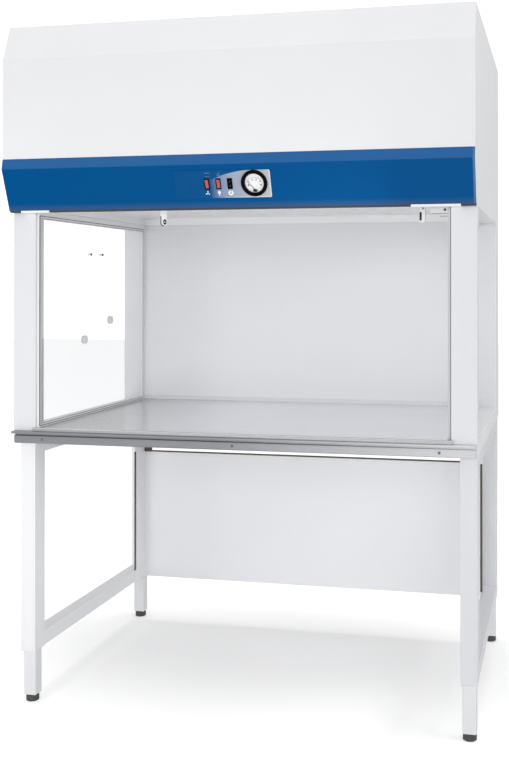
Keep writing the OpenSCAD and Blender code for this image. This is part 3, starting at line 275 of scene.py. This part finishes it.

# ---- Blue fascia ---------------------------------------------------------------------------
# One folded sheet in a deep blue coat, hooked under the hood's front. Painted light makes it a
# little lighter to the right and lightens its top strip, and a painted highlight lies on its right
# end. Painted shade greys its rolled foot and dulls a band above it.


def axes_of(mat):
    """The piece's own X, Y and Z, in metres."""
    place = mat.node_tree.nodes.new("ShaderNodeTexCoord")
    axes = mat.node_tree.nodes.new("ShaderNodeSeparateXYZ")
    mat.node_tree.links.new(place.outputs["Object"], axes.inputs[0])
    return axes.outputs


def own_colour(mat):
    """The colour that a finish has so far."""
    return skin_of(mat)["Base Color"].links[0].from_socket


def laid_over(tree, share, under, over, blend="MIX"):
    """One colour over another, as far as the share says."""
    mix = tree.nodes.new("ShaderNodeMix")
    mix.data_type = "RGBA"
    mix.blend_type = blend
    for value, socket in ((share, mix.inputs[0]), (under, mix.inputs[6]), (over, mix.inputs[7])):
        feed(tree, value, socket)
    return mix.outputs[2]


blue_coat = powder_coat("blue_coat", (0.0002, 0.083, 0.268), roughness=0.40, drift=0.03)
skin_of(blue_coat)["Specular IOR Level"].default_value = 0.02
tree = blue_coat.node_tree
axes = axes_of(blue_coat)
# Painted light towards the right and on the top strip, a painted highlight on the right end, and painted
# shade in a band above the foot.
painted_light_right = graded(tree, axes["X"], start=-0.67, end=0.67, low=0.0, high=0.10)
painted_light_top = graded(tree, axes["Z"], start=1.553, end=1.557)
right_end_highlight = worked_out(tree, "GREATER_THAN", axes["X"], 0.6640)
painted_shade_band = graded(tree, axes["Z"], start=1.4395, end=1.4580, low=0.55, high=0.0)
blue = own_colour(blue_coat)
for share, shade in (
    (painted_light_right, (0.040, 0.120, 0.330, 1.0)), (painted_light_top, (0.031, 0.138, 0.370, 1.0)),
    (right_end_highlight, (0.10, 0.20, 0.36, 1.0)), (painted_shade_band, (0.075, 0.125, 0.235, 1.0)),
):
    blue = laid_over(tree, share, blue, shade)
# Painted shade: the rolled foot is greyed.
clear_of_foot_shade = graded(tree, axes["Z"], start=1.4392, end=1.4408)
recolour(blue_coat, laid_over(tree, clear_of_foot_shade, (0.075, 0.080, 0.095, 1.0), blue))
paint(blue_coat, "fascia")
ease_edges(0.0008, "fascia")

# ---- Back wall -----------------------------------------------------------------------------
# Finely perforated white sheet, hung in front of the rear duct. Its rows of small holes show as
# a faint dot pattern, and painted light makes it a little brighter low down.

grille_coat = powder_coat("grille_coat", (0.88, 0.885, 0.905), roughness=0.42)
tree = grille_coat.node_tree
place = tree.nodes.new("ShaderNodeTexCoord")
rows = tree.nodes.new("ShaderNodeMapping")
rows.inputs["Rotation"].default_value = (math.radians(90.0), 0.0, 0.0)
dots = tree.nodes.new("ShaderNodeTexVoronoi")
dots.voronoi_dimensions = "2D"
dots.inputs["Scale"].default_value = 130.0
dots.inputs["Randomness"].default_value = 0.0
tree.links.new(place.outputs["Object"], rows.inputs["Vector"])
tree.links.new(rows.outputs["Vector"], dots.inputs["Vector"])
holes = graded(tree, dots.outputs["Distance"], start=0.18, end=0.26, low=0.84, high=1.0)
# Painted light: brighter low down, dimmer towards the top.
painted_light_low = graded(tree, axes_of(grille_coat)["Z"], start=0.83, end=1.42, low=1.11, high=0.93)
wall = own_colour(grille_coat)
for share in (painted_light_low, holes):
    wall = laid_over(tree, 1.0, wall, share, blend="MULTIPLY")
recolour(grille_coat, wall)
paint(grille_coat, "back_grille")

# ---- Steel worktop -------------------------------------------------------------------------
# Stainless plate, brushed across the bench, with a rolled nose and a coved upstand at the back
# that is coated like the wall above it. Painted shade darkens the plate towards its left and along its
# nose.


def brushed(name, colour, roughness, stretch, depth=0.25, metallic=1.0):
    mat, tree, place = new_finish(name)
    run = tree.nodes.new("ShaderNodeMapping")
    run.inputs["Scale"].default_value = stretch
    tree.links.new(place, run.inputs["Vector"])
    lines = noise(tree, run.outputs["Vector"], scale=60.0, detail=6.0, roughness=0.7)
    shades = shade_of(colour, 0.92), shade_of(colour, 1.05)
    lay_skin(mat, lines, lines, shades, roughness, spread=0.08, strength=depth, height=0.0001)
    skin_of(mat)["Metallic"].default_value = metallic
    return mat


worktop_steel = brushed("worktop_steel", (0.87, 0.88, 0.90), 0.22, (0.2, 14.0, 14.0))
tree = worktop_steel.node_tree
axes = axes_of(worktop_steel)
# Painted shade: darker towards the left and along the nose.
shade_from_left = graded(tree, axes["X"], start=-0.60, end=-0.20, low=0.72, high=1.0)
shade_at_nose = graded(tree, axes["Y"], start=-0.430, end=-0.400, low=0.80, high=1.0)
worktop_shade = worked_out(tree, "MINIMUM", shade_from_left, shade_at_nose)
plate = laid_over(tree, 1.0, own_colour(worktop_steel), worktop_shade, blend="MULTIPLY")
upstand = worked_out(tree, "GREATER_THAN", axes["Z"], 0.8168)
bare = worked_out(tree, "SUBTRACT", 1.0, upstand)
tree.links.new(bare, skin_of(worktop_steel)["Metallic"])
recolour(worktop_steel, laid_over(tree, upstand, plate, (0.87, 0.875, 0.90, 1.0)))
paint(worktop_steel, "worktop")
ease_edges(0.0006, "worktop")

# ---- Front rail ----------------------------------------------------------------------------
# Extruded aluminium with a top flange, a groove and a full lower bead, held by three screws.
# A painted highlight lightens it towards its right end.

rail_metal = brushed("rail_metal", (0.39, 0.40, 0.42), 0.36, (0.15, 18.0, 18.0), depth=0.15)
tree = rail_metal.node_tree
# Painted highlight, growing towards the right end.
highlight_to_right = graded(tree, axes_of(rail_metal)["X"], start=-0.05, end=0.62)
recolour(rail_metal, laid_over(tree, highlight_to_right, own_colour(rail_metal), (0.86, 0.87, 0.89, 1.0)))
paint(rail_metal, "front_rail")
screw_metal = brushed("screw_metal", (0.25, 0.25, 0.255), 0.3, (8.0, 8.0, 8.0))
paint(screw_metal, "rail_screws", "lock_bolts")

# ---- Side glasses --------------------------------------------------------------------------
# Clear panes, each held by a light pressed trim on its inner side. The trims carry two dark lines
# of painted shade in their grooves, 3 mm and 10 mm outside the window's edge. The right trim's front
# edge is greyed with painted shade, and a dark line of painted shade runs down it.

pane, tree, place = new_finish("pane")
film = noise(tree, place, scale=5.0)
tone = tree.nodes.new("ShaderNodeValToRGB")
tone.color_ramp.elements[0].color = (0.80, 0.86, 0.92, 1.0)
tone.color_ramp.elements[1].color = (0.88, 0.93, 0.98, 1.0)
tree.links.new(film, tone.inputs["Fac"])
recolour(pane, tone.outputs["Color"])
tree.links.new(graded(tree, film, 0.0, 1.0, low=0.01, high=0.06), skin_of(pane)["Roughness"])
skin_of(pane)["IOR"].default_value = 1.5
skin_of(pane)["Alpha"].default_value = 0.10
paint(pane, "side_glass_left", "side_glass_right")

trim_metal = brushed(
    "trim_metal", (0.90, 0.905, 0.91), 0.42, (6.0, 6.0, 0.5), depth=0.1, metallic=0.15
)
paint(trim_metal, "filter_frame")

glazing = trim_metal.copy()
glazing.name = "glazing"
tree = glazing.node_tree
axes = axes_of(glazing)
window_front, window_rear, window_foot, window_head = -0.401, 0.3461, 0.828, 1.4168
outside = None
for axis, edge, side in (
    ("Y", window_front, -1.0), ("Y", window_rear, 1.0), ("Z", window_foot, -1.0), ("Z", window_head, 1.0),
):
    past_edge = worked_out(tree, "MULTIPLY_ADD", axes[axis], side, -side * edge)
    outside = past_edge if outside is None else worked_out(tree, "MAXIMUM", outside, past_edge)
trim = own_colour(glazing)
# Painted shade in the trims' grooves.
for middle, half_width, shade in (
    (0.00325, 0.0008, (0.30, 0.30, 0.31, 1.0)), (0.0098, 0.0011, (0.05, 0.05, 0.055, 1.0)),
):
    groove_shade = worked_out(tree, "COMPARE", outside, middle, half_width)
    trim = laid_over(tree, groove_shade, trim, shade)
# Painted shade on the right trim's front, and a dark line of painted shade down it.
front = worked_out(tree, "LESS_THAN", axes["Y"], -0.4000)
right = worked_out(tree, "GREATER_THAN", axes["X"], 0.0)
front_right = worked_out(tree, "MULTIPLY", front, right)
trim = laid_over(tree, front_right, trim, (0.64, 0.645, 0.66, 1.0))
seam_shade = worked_out(tree, "COMPARE", axes["X"], 0.5990, 0.0009)
recolour(glazing, laid_over(tree, seam_shade, trim, (0.10, 0.10, 0.105, 1.0)))
paint(glazing, "glass_trim_left", "glass_trim_right")

# ---- Plastics and machinery ----------------------------------------------------------------
# Moulded pieces with a fine texture: caps, guides, feet, switch bodies and the gauge case. The
# filter's paper, the blower's zinc and the motor's paint are out of sight behind the covers.


def moulded(name, colour, roughness=0.45, texture=260.0, depth=0.12):
    mat, tree, place = new_finish(name)
    grain = noise(tree, place, scale=texture, detail=3.0)
    shades = shade_of(colour, 0.92), shade_of(colour, 1.08)
    lay_skin(mat, grain, grain, shades, roughness, spread=0.06, strength=depth, height=0.0002)
    return mat


black_plastic = moulded("black_plastic", (0.0015, 0.0015, 0.002), 0.35)
skin_of(black_plastic)["Specular IOR Level"].default_value = 0.06
paint(
    black_plastic, "switch_housings", "power_rocker", "gauge_case", "mains_inlet", "gauge_needle",
)
stud_plastic = moulded("stud_plastic", (0.92, 0.92, 0.93), 0.4)
tree = stud_plastic.node_tree
black_cap = worked_out(tree, "GREATER_THAN", axes_of(stud_plastic)["X"], -0.5948)
recolour(
    stud_plastic, laid_over(tree, black_cap, own_colour(stud_plastic), (0.004, 0.004, 0.004, 1.0))
)
paint(stud_plastic, "glass_studs")
paint(moulded("red_plastic", (0.51, 0.105, 0.078), 0.3), "fan_rocker", "light_rocker")
paint(moulded("grey_plastic", (0.88, 0.885, 0.90)), "service_plugs", "leg_guides")
foot_plastic = moulded("foot_plastic", (0.085, 0.09, 0.088), 0.24)
paint(foot_plastic, *["foot_" + corner for corner in corners])
paint(moulded("white_plastic", (0.85, 0.85, 0.84)), "lamp_sockets", "lamp_tube")
# The dark edging on the rear panel's top is painted shade, a dark strip where the edge is in shadow.
edge_strip = moulded("edge_strip", (0.09, 0.08, 0.062), 0.6)
paint(edge_strip, "panel_edge_strip")
gasket_rubber = moulded("gasket_rubber", (0.02, 0.02, 0.02), 0.8)
paint(gasket_rubber, "filter_gasket")
paint(moulded("dial_white", (0.97, 0.97, 0.97), 0.5), "gauge_dial")
lens = moulded("lens", (0.90, 0.92, 0.94), 0.08, texture=30.0, depth=0.01)
skin_of(lens)["Alpha"].default_value = 0.02
paint(lens, "gauge_lens")
paint(moulded("paper", (0.86, 0.86, 0.82), 0.8), "filter_pleats")
paint(moulded("pad_fibre", (0.60, 0.66, 0.70), 0.9, texture=90.0, depth=0.8), "prefilter_pad")
zinc = brushed("zinc", (0.58, 0.59, 0.60), 0.4, (3.0, 3.0, 3.0))
paint(zinc, "blower_housing", "blower_wheel", "motor_bracket")
paint(powder_coat("motor_paint", (0.10, 0.11, 0.13)), "blower_motor")

# ---- Control plate -------------------------------------------------------------------------
# Printed film: a dark blue field, and a silver one that fades into it at the left and has a
# lighter rim at the right and along its foot.

plate_film = moulded("plate_film", (0.0004, 0.082, 0.262), 0.3, texture=40.0, depth=0.02)
skin_of(plate_film)["Specular IOR Level"].default_value = 0.08
paint(plate_film, "control_plate")
silver_film = moulded("silver_film", (0.48, 0.50, 0.53), 0.35, texture=40.0, depth=0.02)
skin_of(silver_film)["Specular IOR Level"].default_value = 0.10
tree = silver_film.node_tree
axes = axes_of(silver_film)
fade = tree.nodes.new("ShaderNodeValToRGB")
stops = fade.color_ramp.elements
stops[0].position = 0.13
stops[0].color = (0.0004, 0.085, 0.270, 1.0)
stops[1].position = 1.0
stops[1].color = (0.52, 0.53, 0.55, 1.0)
stops.new(0.27).color = (0.20, 0.29, 0.46, 1.0)
stops.new(0.45).color = (0.35, 0.41, 0.51, 1.0)
tree.links.new(graded(tree, axes["X"], start=-0.080, end=0.120), fade.inputs["Fac"])
right_rim = worked_out(tree, "GREATER_THAN", axes["X"], 0.1165)
at_foot = worked_out(tree, "LESS_THAN", axes["Z"], 1.4680)
past_fade = graded(tree, axes["X"], start=-0.020, end=0.060)
foot_rim = worked_out(tree, "MULTIPLY", at_foot, past_fade)
rim = worked_out(tree, "MAXIMUM", right_rim, foot_rim)
recolour(silver_film, laid_over(tree, rim, fade.outputs["Color"], (0.72, 0.74, 0.78, 1.0)))
paint(silver_film, "silver_sweep")

# ---- Marks on the control plate ------------------------------------------------------------
# Screen-printed signs: a fan, a lamp and a mains sign under the rockers, a coil and a triangle
# over the first two. Ink stands a hair above the film.

ink_t = 0.00012
plate_out = 0.0012
bend = Vector((0.0, -0.490, 1.556))
face_pitch = math.atan2(47.0, 121.0)
face_down = Vector((0.0, math.sin(face_pitch), -math.cos(face_pitch)))
face_out = Vector((0.0, -math.cos(face_pitch), -math.sin(face_pitch)))


def seat_on_face(piece, x, down, out, lean=0.0):
    """Stand a flat piece on the fascia's slope, below its upper bend."""
    bpy.ops.object.select_all(action="DESELECT")
    piece.select_set(True)
    bpy.context.view_layer.objects.active = piece
    piece.rotation_euler = (math.radians(90.0) + face_pitch + lean, 0.0, 0.0)
    piece.location = bend + Vector((x, 0.0, 0.0)) + face_down * down + face_out * out
    bpy.ops.object.transform_apply(location=True, rotation=True, scale=True)


def joined(parts, name):
    bpy.ops.object.select_all(action="DESELECT")
    for part in parts:
        part.select_set(True)
    bpy.context.view_layer.objects.active = parts[0]
    if len(parts) > 1:
        bpy.ops.object.join()
    parts[0].name = name
    return parts[0]


def inked(name, outlines):
    """One thin print of several outlines, its foot on the XY plane."""
    parts = []
    for outline in outlines:
        bpy.ops.object.select_all(action="DESELECT")
        bpy.ops.mesh.primitive_circle_add(vertices=len(outline), radius=0.01, fill_type="NGON")
        part = bpy.context.object
        for vert, point in zip(part.data.vertices, outline):
            vert.co = (point[0], point[1], 0.0)
        bpy.ops.object.mode_set(mode="EDIT")
        bpy.ops.mesh.select_all(action="SELECT")
        bpy.ops.mesh.extrude_region_move(TRANSFORM_OT_translate={"value": (0.0, 0.0, ink_t)})
        bpy.ops.mesh.select_all(action="SELECT")
        bpy.ops.mesh.normals_make_consistent(inside=False)
        bpy.ops.object.mode_set(mode="OBJECT")
        parts.append(part)
    return joined(parts, name)


def ring(radius, width, start=0.0, end=360.0, steps=40):
    """Outlines of a ring or an arc, one small four-cornered piece after another."""
    inner, outer = radius - width / 2.0, radius + width / 2.0
    pieces = []
    for i in range(steps):
        a = math.radians(start + (end - start) * i / steps)
        b = math.radians(start + (end - start) * (i + 1) / steps)
        pieces.append([
            (inner * math.cos(a), inner * math.sin(a)), (outer * math.cos(a), outer * math.sin(a)),
            (outer * math.cos(b), outer * math.sin(b)), (inner * math.cos(b), inner * math.sin(b)),
        ])
    return pieces


def disc(radius, cx=0.0, cy=0.0, steps=28):
    return [
        (cx + radius * math.cos(math.tau * i / steps), cy + radius * math.sin(math.tau * i / steps))
        for i in range(steps)
    ]


def bar(x0, y0, x1, y1):
    return [(x0, y0), (x1, y0), (x1, y1), (x0, y1)]


def moved(outlines, dx, dy):
    return [[(x + dx, y + dy) for x, y in outline] for outline in outlines]


def turned(outline, degrees):
    c, s = math.cos(math.radians(degrees)), math.sin(math.radians(degrees))
    return [(x * c - y * s, x * s + y * c) for x, y in outline]


white_ink = moulded("white_ink", (0.86, 0.88, 0.92), 0.5, texture=400.0, depth=0.05)
faint_ink = moulded("faint_ink", (0.26, 0.25, 0.25), 0.5, texture=400.0, depth=0.05)
dark_ink = moulded("dark_ink", (0.05, 0.05, 0.05), 0.5, texture=400.0, depth=0.05)

blade = [
    (0.0, -0.0004), (0.0030, -0.0015), (0.0062, -0.0017), (0.0066, 0.0002), (0.0048, 0.0014),
    (0.0, 0.0006),
]
fan_sign = inked("fan_sign", [turned(blade, at) for at in (90.0, 210.0, 330.0)] + [disc(0.0012)])
lamp_sign = inked("lamp_sign", [disc(0.0046, 0.0, 0.0018), bar(-0.0016, -0.0072, 0.0016, -0.0018)])
mains_sign = inked(
    "mains_sign", ring(0.0052, 0.0042, 118.0, 422.0) + [bar(-0.0010, 0.0004, 0.0010, 0.0072)]
)

coil_pitch, coil_height = 0.0045, 0.0068
coil = []
for turn in (-1, 0, 1):
    coil += moved(ring(0.0022, 0.0009, 0.0, 180.0, 10), coil_pitch * turn, 0.0)
    coil += moved(ring(0.0016, 0.0007, 180.0, 360.0, 8), coil_pitch * turn, -coil_height)
coil_sign = inked("coil_sign", coil)

edge = 0.0095
hollow = 0.72
high = edge * math.sqrt(0.75)
tips = [(-edge / 2, -high / 3), (edge / 2, -high / 3), (0.0, high * 2 / 3)]
sides = []
for (ax, ay), (bx, by) in zip(tips, tips[1:] + tips[:1]):
    sides.append([(ax, ay), (bx, by), (bx * hollow, by * hollow), (ax * hollow, ay * hollow)])
triangle_sign = inked("triangle_sign", sides)

under_rockers = 0.0828
mains_x = 0.004
for piece, ink, x, down in (
    (fan_sign, white_ink, -0.062, under_rockers),
    (lamp_sign, white_ink, -0.029, under_rockers),
    (mains_sign, white_ink, mains_x, under_rockers),
    (coil_sign, faint_ink, -0.0590, 0.0275),
    (triangle_sign, faint_ink, -0.0268, 0.0305),
):
    seat_on_face(piece, x, down, plate_out)
    piece.data.materials.append(ink)
    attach(piece, "bench")

# ---- Marks on the mains rocker -------------------------------------------------------------
# A stroke on the raised end and a ring on the low end, printed in grey on the black plastic.
# Each lies flat on its own half of the tipped face.

rocker_down = 0.0565
stroke_mark = inked("stroke_mark", [bar(-0.0005, -0.0013, 0.0005, 0.0013)])
seat_on_face(stroke_mark, mains_x, rocker_down - 0.0057, 0.00357, lean=math.radians(14.6))
ring_mark = inked("ring_mark", ring(0.0014, 0.0004, steps=20))
seat_on_face(ring_mark, mains_x, rocker_down + 0.0062, 0.00207, lean=math.radians(-0.6))
for piece in (stroke_mark, ring_mark):
    piece.data.materials.append(faint_ink)
    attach(piece, "power_rocker")

# ---- Gauge dial ----------------------------------------------------------------------------
# A pressure dial: a shallow scale with plain numbers about a low pivot, two small screws, and a
# dark bridge over the pivot at the dial's foot.

gauge_x, gauge_down, dial_out = 0.073, 0.0565, -0.0008
pivot = -0.020
scale_r, scale_line = 0.0345, 0.0007
scale_end, scale_span = 57.0, 66.0
ticks = 12
print_outlines = ring(scale_r, scale_line, scale_end, scale_end + scale_span, 24)
for i in range(ticks + 1):
    length = 0.0030 if i % 4 == 0 else 0.0018
    half = 0.00034
    tick = bar(scale_r, -half, scale_r + length, half)
    print_outlines.append(turned(tick, scale_end + scale_span * i / ticks))
dial_scale = inked("dial_scale", moved(print_outlines, 0.0, pivot))
seat_on_face(dial_scale, gauge_x, gauge_down, dial_out)

numbers_r = 0.029
numbers = []
for i, mark in enumerate(("0", "10", "20", "30")):
    angle = math.radians(scale_end + scale_span * (1.0 - i / 3.0))
    bpy.ops.object.select_all(action="DESELECT")
    bpy.ops.object.text_add()
    number = bpy.context.object
    number.data.body = mark
    number.data.size = 0.0066
    number.data.offset = 0.00012
    number.data.align_x = "CENTER"
    number.data.align_y = "CENTER"
    number.data.extrude = ink_t / 2.0
    number.data.resolution_u = 3
    bpy.ops.object.convert(target="MESH")
    number = bpy.context.object
    number.location = (
        numbers_r * math.cos(angle), numbers_r * math.sin(angle) + pivot, ink_t / 2.0,
    )
    bpy.ops.object.transform_apply(location=True, rotation=True, scale=True)
    numbers.append(number)
dial_numbers = joined(numbers, "dial_numbers")
dial_numbers.data.materials.clear()
seat_on_face(dial_numbers, gauge_x, gauge_down, dial_out)

pivot_bridge = inked("pivot_bridge", [[
    (-0.0066, -0.0205), (-0.0040, -0.0175), (0.0040, -0.0175),
    (0.0066, -0.0205), (0.0055, -0.0256), (-0.0055, -0.0256),
]])
seat_on_face(pivot_bridge, gauge_x, gauge_down, dial_out)

scale_ink = moulded("scale_ink", (0.24, 0.24, 0.25), 0.5, texture=400.0, depth=0.05)
for piece, ink in ((dial_scale, scale_ink), (dial_numbers, scale_ink), (pivot_bridge, dark_ink)):
    piece.data.materials.append(ink)
    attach(piece, "bench")


def block(centre, size):
    """A squared block, before its edges are eased or it cuts a slot."""
    bpy.ops.object.select_all(action="DESELECT")
    bpy.ops.mesh.primitive_cube_add(size=1.0, location=centre)
    piece = bpy.context.object
    piece.scale = size
    bpy.ops.object.transform_apply(location=True, rotation=True, scale=True)
    return piece


def small_screw(name, radius, height):
    """Domed head with a straight slot, its seat on the XY plane."""
    bpy.ops.object.select_all(action="DESELECT")
    bpy.ops.mesh.primitive_cylinder_add(
        vertices=28, radius=radius, depth=height, location=(0.0, 0.0, height / 2.0)
    )
    screw = bpy.context.object
    screw.name = name
    bpy.ops.object.transform_apply(location=True, rotation=True, scale=True)
    ease = screw.modifiers.new("dome", "BEVEL")
    ease.width = height * 0.6
    ease.segments = 3
    ease.angle_limit = math.radians(50.0)
    bpy.ops.object.modifier_apply(modifier="dome")
    slot = block((0.0, 0.0, height), (radius * 2.4, radius * 0.36, height * 0.7))
    cut = screw.modifiers.new("slot", "BOOLEAN")
    cut.operation = "DIFFERENCE"
    cut.solver = "EXACT"
    cut.object = slot
    bpy.ops.object.select_all(action="DESELECT")
    bpy.context.view_layer.objects.active = screw
    screw.select_set(True)
    bpy.ops.object.modifier_apply(modifier="slot")
    bpy.data.objects.remove(slot, do_unlink=True)
    bpy.ops.object.shade_smooth_by_angle(angle=math.radians(40.0))
    return screw


dark_steel = brushed("dark_steel", (0.10, 0.10, 0.105), 0.35, (4.0, 4.0, 4.0))
for name, x in (("dial_screw_left", -0.0170), ("dial_screw_right", 0.0180)):
    screw = small_screw(name, radius=0.0022, height=0.0008)
    seat_on_face(screw, gauge_x + x, gauge_down + 0.0060, dial_out)
    screw.data.materials.append(dark_steel)
    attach(screw, "bench")

# ---- Hanging tabs and stop plate -----------------------------------------------------------
# Small folded tabs under the lamp trough. The left one has an eye bushed in black rubber and a
# dark hem. The right one and the stop plate are held by screws, and thin black strips on them are
# painted shade.

tab_y = -0.384
bpy.ops.object.select_all(action="DESELECT")
bpy.ops.mesh.primitive_torus_add(
    major_radius=0.0044, minor_radius=0.0019, major_segments=32, minor_segments=12,
    location=(-0.2182, tab_y - 0.0002, 1.406), rotation=(math.radians(90.0), 0.0, 0.0),
)
bpy.ops.transform.resize(value=(0.72, 1.0, 1.25))
grommet = bpy.context.object
grommet.name = "tab_grommet"
bpy.ops.object.transform_apply(location=True, rotation=True, scale=True)
bpy.ops.object.shade_smooth()
grommet.data.materials.append(black_plastic)
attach(grommet, "bench")

tab_hem = inked(
    "tab_hem", ring(0.0082, 0.0026, 180.0, 285.0, 16) + [bar(-0.0095, 0.0, -0.0069, 0.0190)]
)
tab_hem.rotation_euler = (math.radians(90.0), 0.0, 0.0)
tab_hem.location = (-0.2220, tab_y, 1.4035)
bpy.ops.object.transform_apply(location=True, rotation=True, scale=True)
tab_hem.data.materials.append(black_plastic)
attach(tab_hem, "bench")

# Thin black strips of painted shade: on the right tab's left half, and under the stop plate and its bar.
shade_strip_t = 0.0006
for name, x0, x1, z0, z1 in (
    ("right_tab_shade_strip", 0.5122, 0.5180, 1.4010, 1.4230),
    ("stop_plate_shade_strip", 0.5440, 0.5900, 1.4179, 1.4190),
    ("stop_bar_shade_strip", 0.5675, 0.5900, 1.4109, 1.4120),
):
    centre = ((x0 + x1) / 2.0, tab_y - shade_strip_t / 2.0, (z0 + z1) / 2.0)
    shade_strip = block(centre, (x1 - x0, shade_strip_t, z1 - z0))
    shade_strip.name = name
    ease = shade_strip.modifiers.new("ease", "BEVEL")
    ease.width = 0.0002
    ease.segments = 2
    bpy.ops.object.modifier_apply(modifier="ease")
    shade_strip.data.materials.append(gasket_rubber)
    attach(shade_strip, "bench")

for name, x, z, radius in (
    ("tab_screw", 0.5215, 1.4330, 0.0020), ("stop_screw", 0.5809, 1.4290, 0.0034),
):
    screw = small_screw(name, radius, height=0.0016)
    screw.rotation_euler = (math.radians(90.0), 0.0, 0.0)
    screw.location = (x, tab_y, z)
    bpy.ops.object.transform_apply(location=True, rotation=True, scale=True)
    screw.data.materials.append(dark_steel)
    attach(screw, "bench")

# ---- Wing edge strips ----------------------------------------------------------------------
# Dark strips at the ends of the rear panel's side wings, the same dark as the panel's top edge, are
# painted shade. Each is seen through a side frame as a thin upright line of shade.

strip_height, strip_depth = 0.4280, 0.0120
for name, x, width in (
    ("wing_shade_strip_left", -0.6200, 0.0030), ("wing_shade_strip_right", 0.6215, 0.0070),
):
    wing_shade_strip = block((x, 0.3515, 0.4105), (width, strip_depth, strip_height))
    wing_shade_strip.name = name
    bpy.ops.object.mode_set(mode="EDIT")
    bpy.ops.mesh.select_all(action="SELECT")
    bpy.ops.mesh.bevel(offset=0.0012, segments=2)
    bpy.ops.object.mode_set(mode="OBJECT")
    wing_shade_strip.data.materials.append(edge_strip)
    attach(wing_shade_strip, "bench")
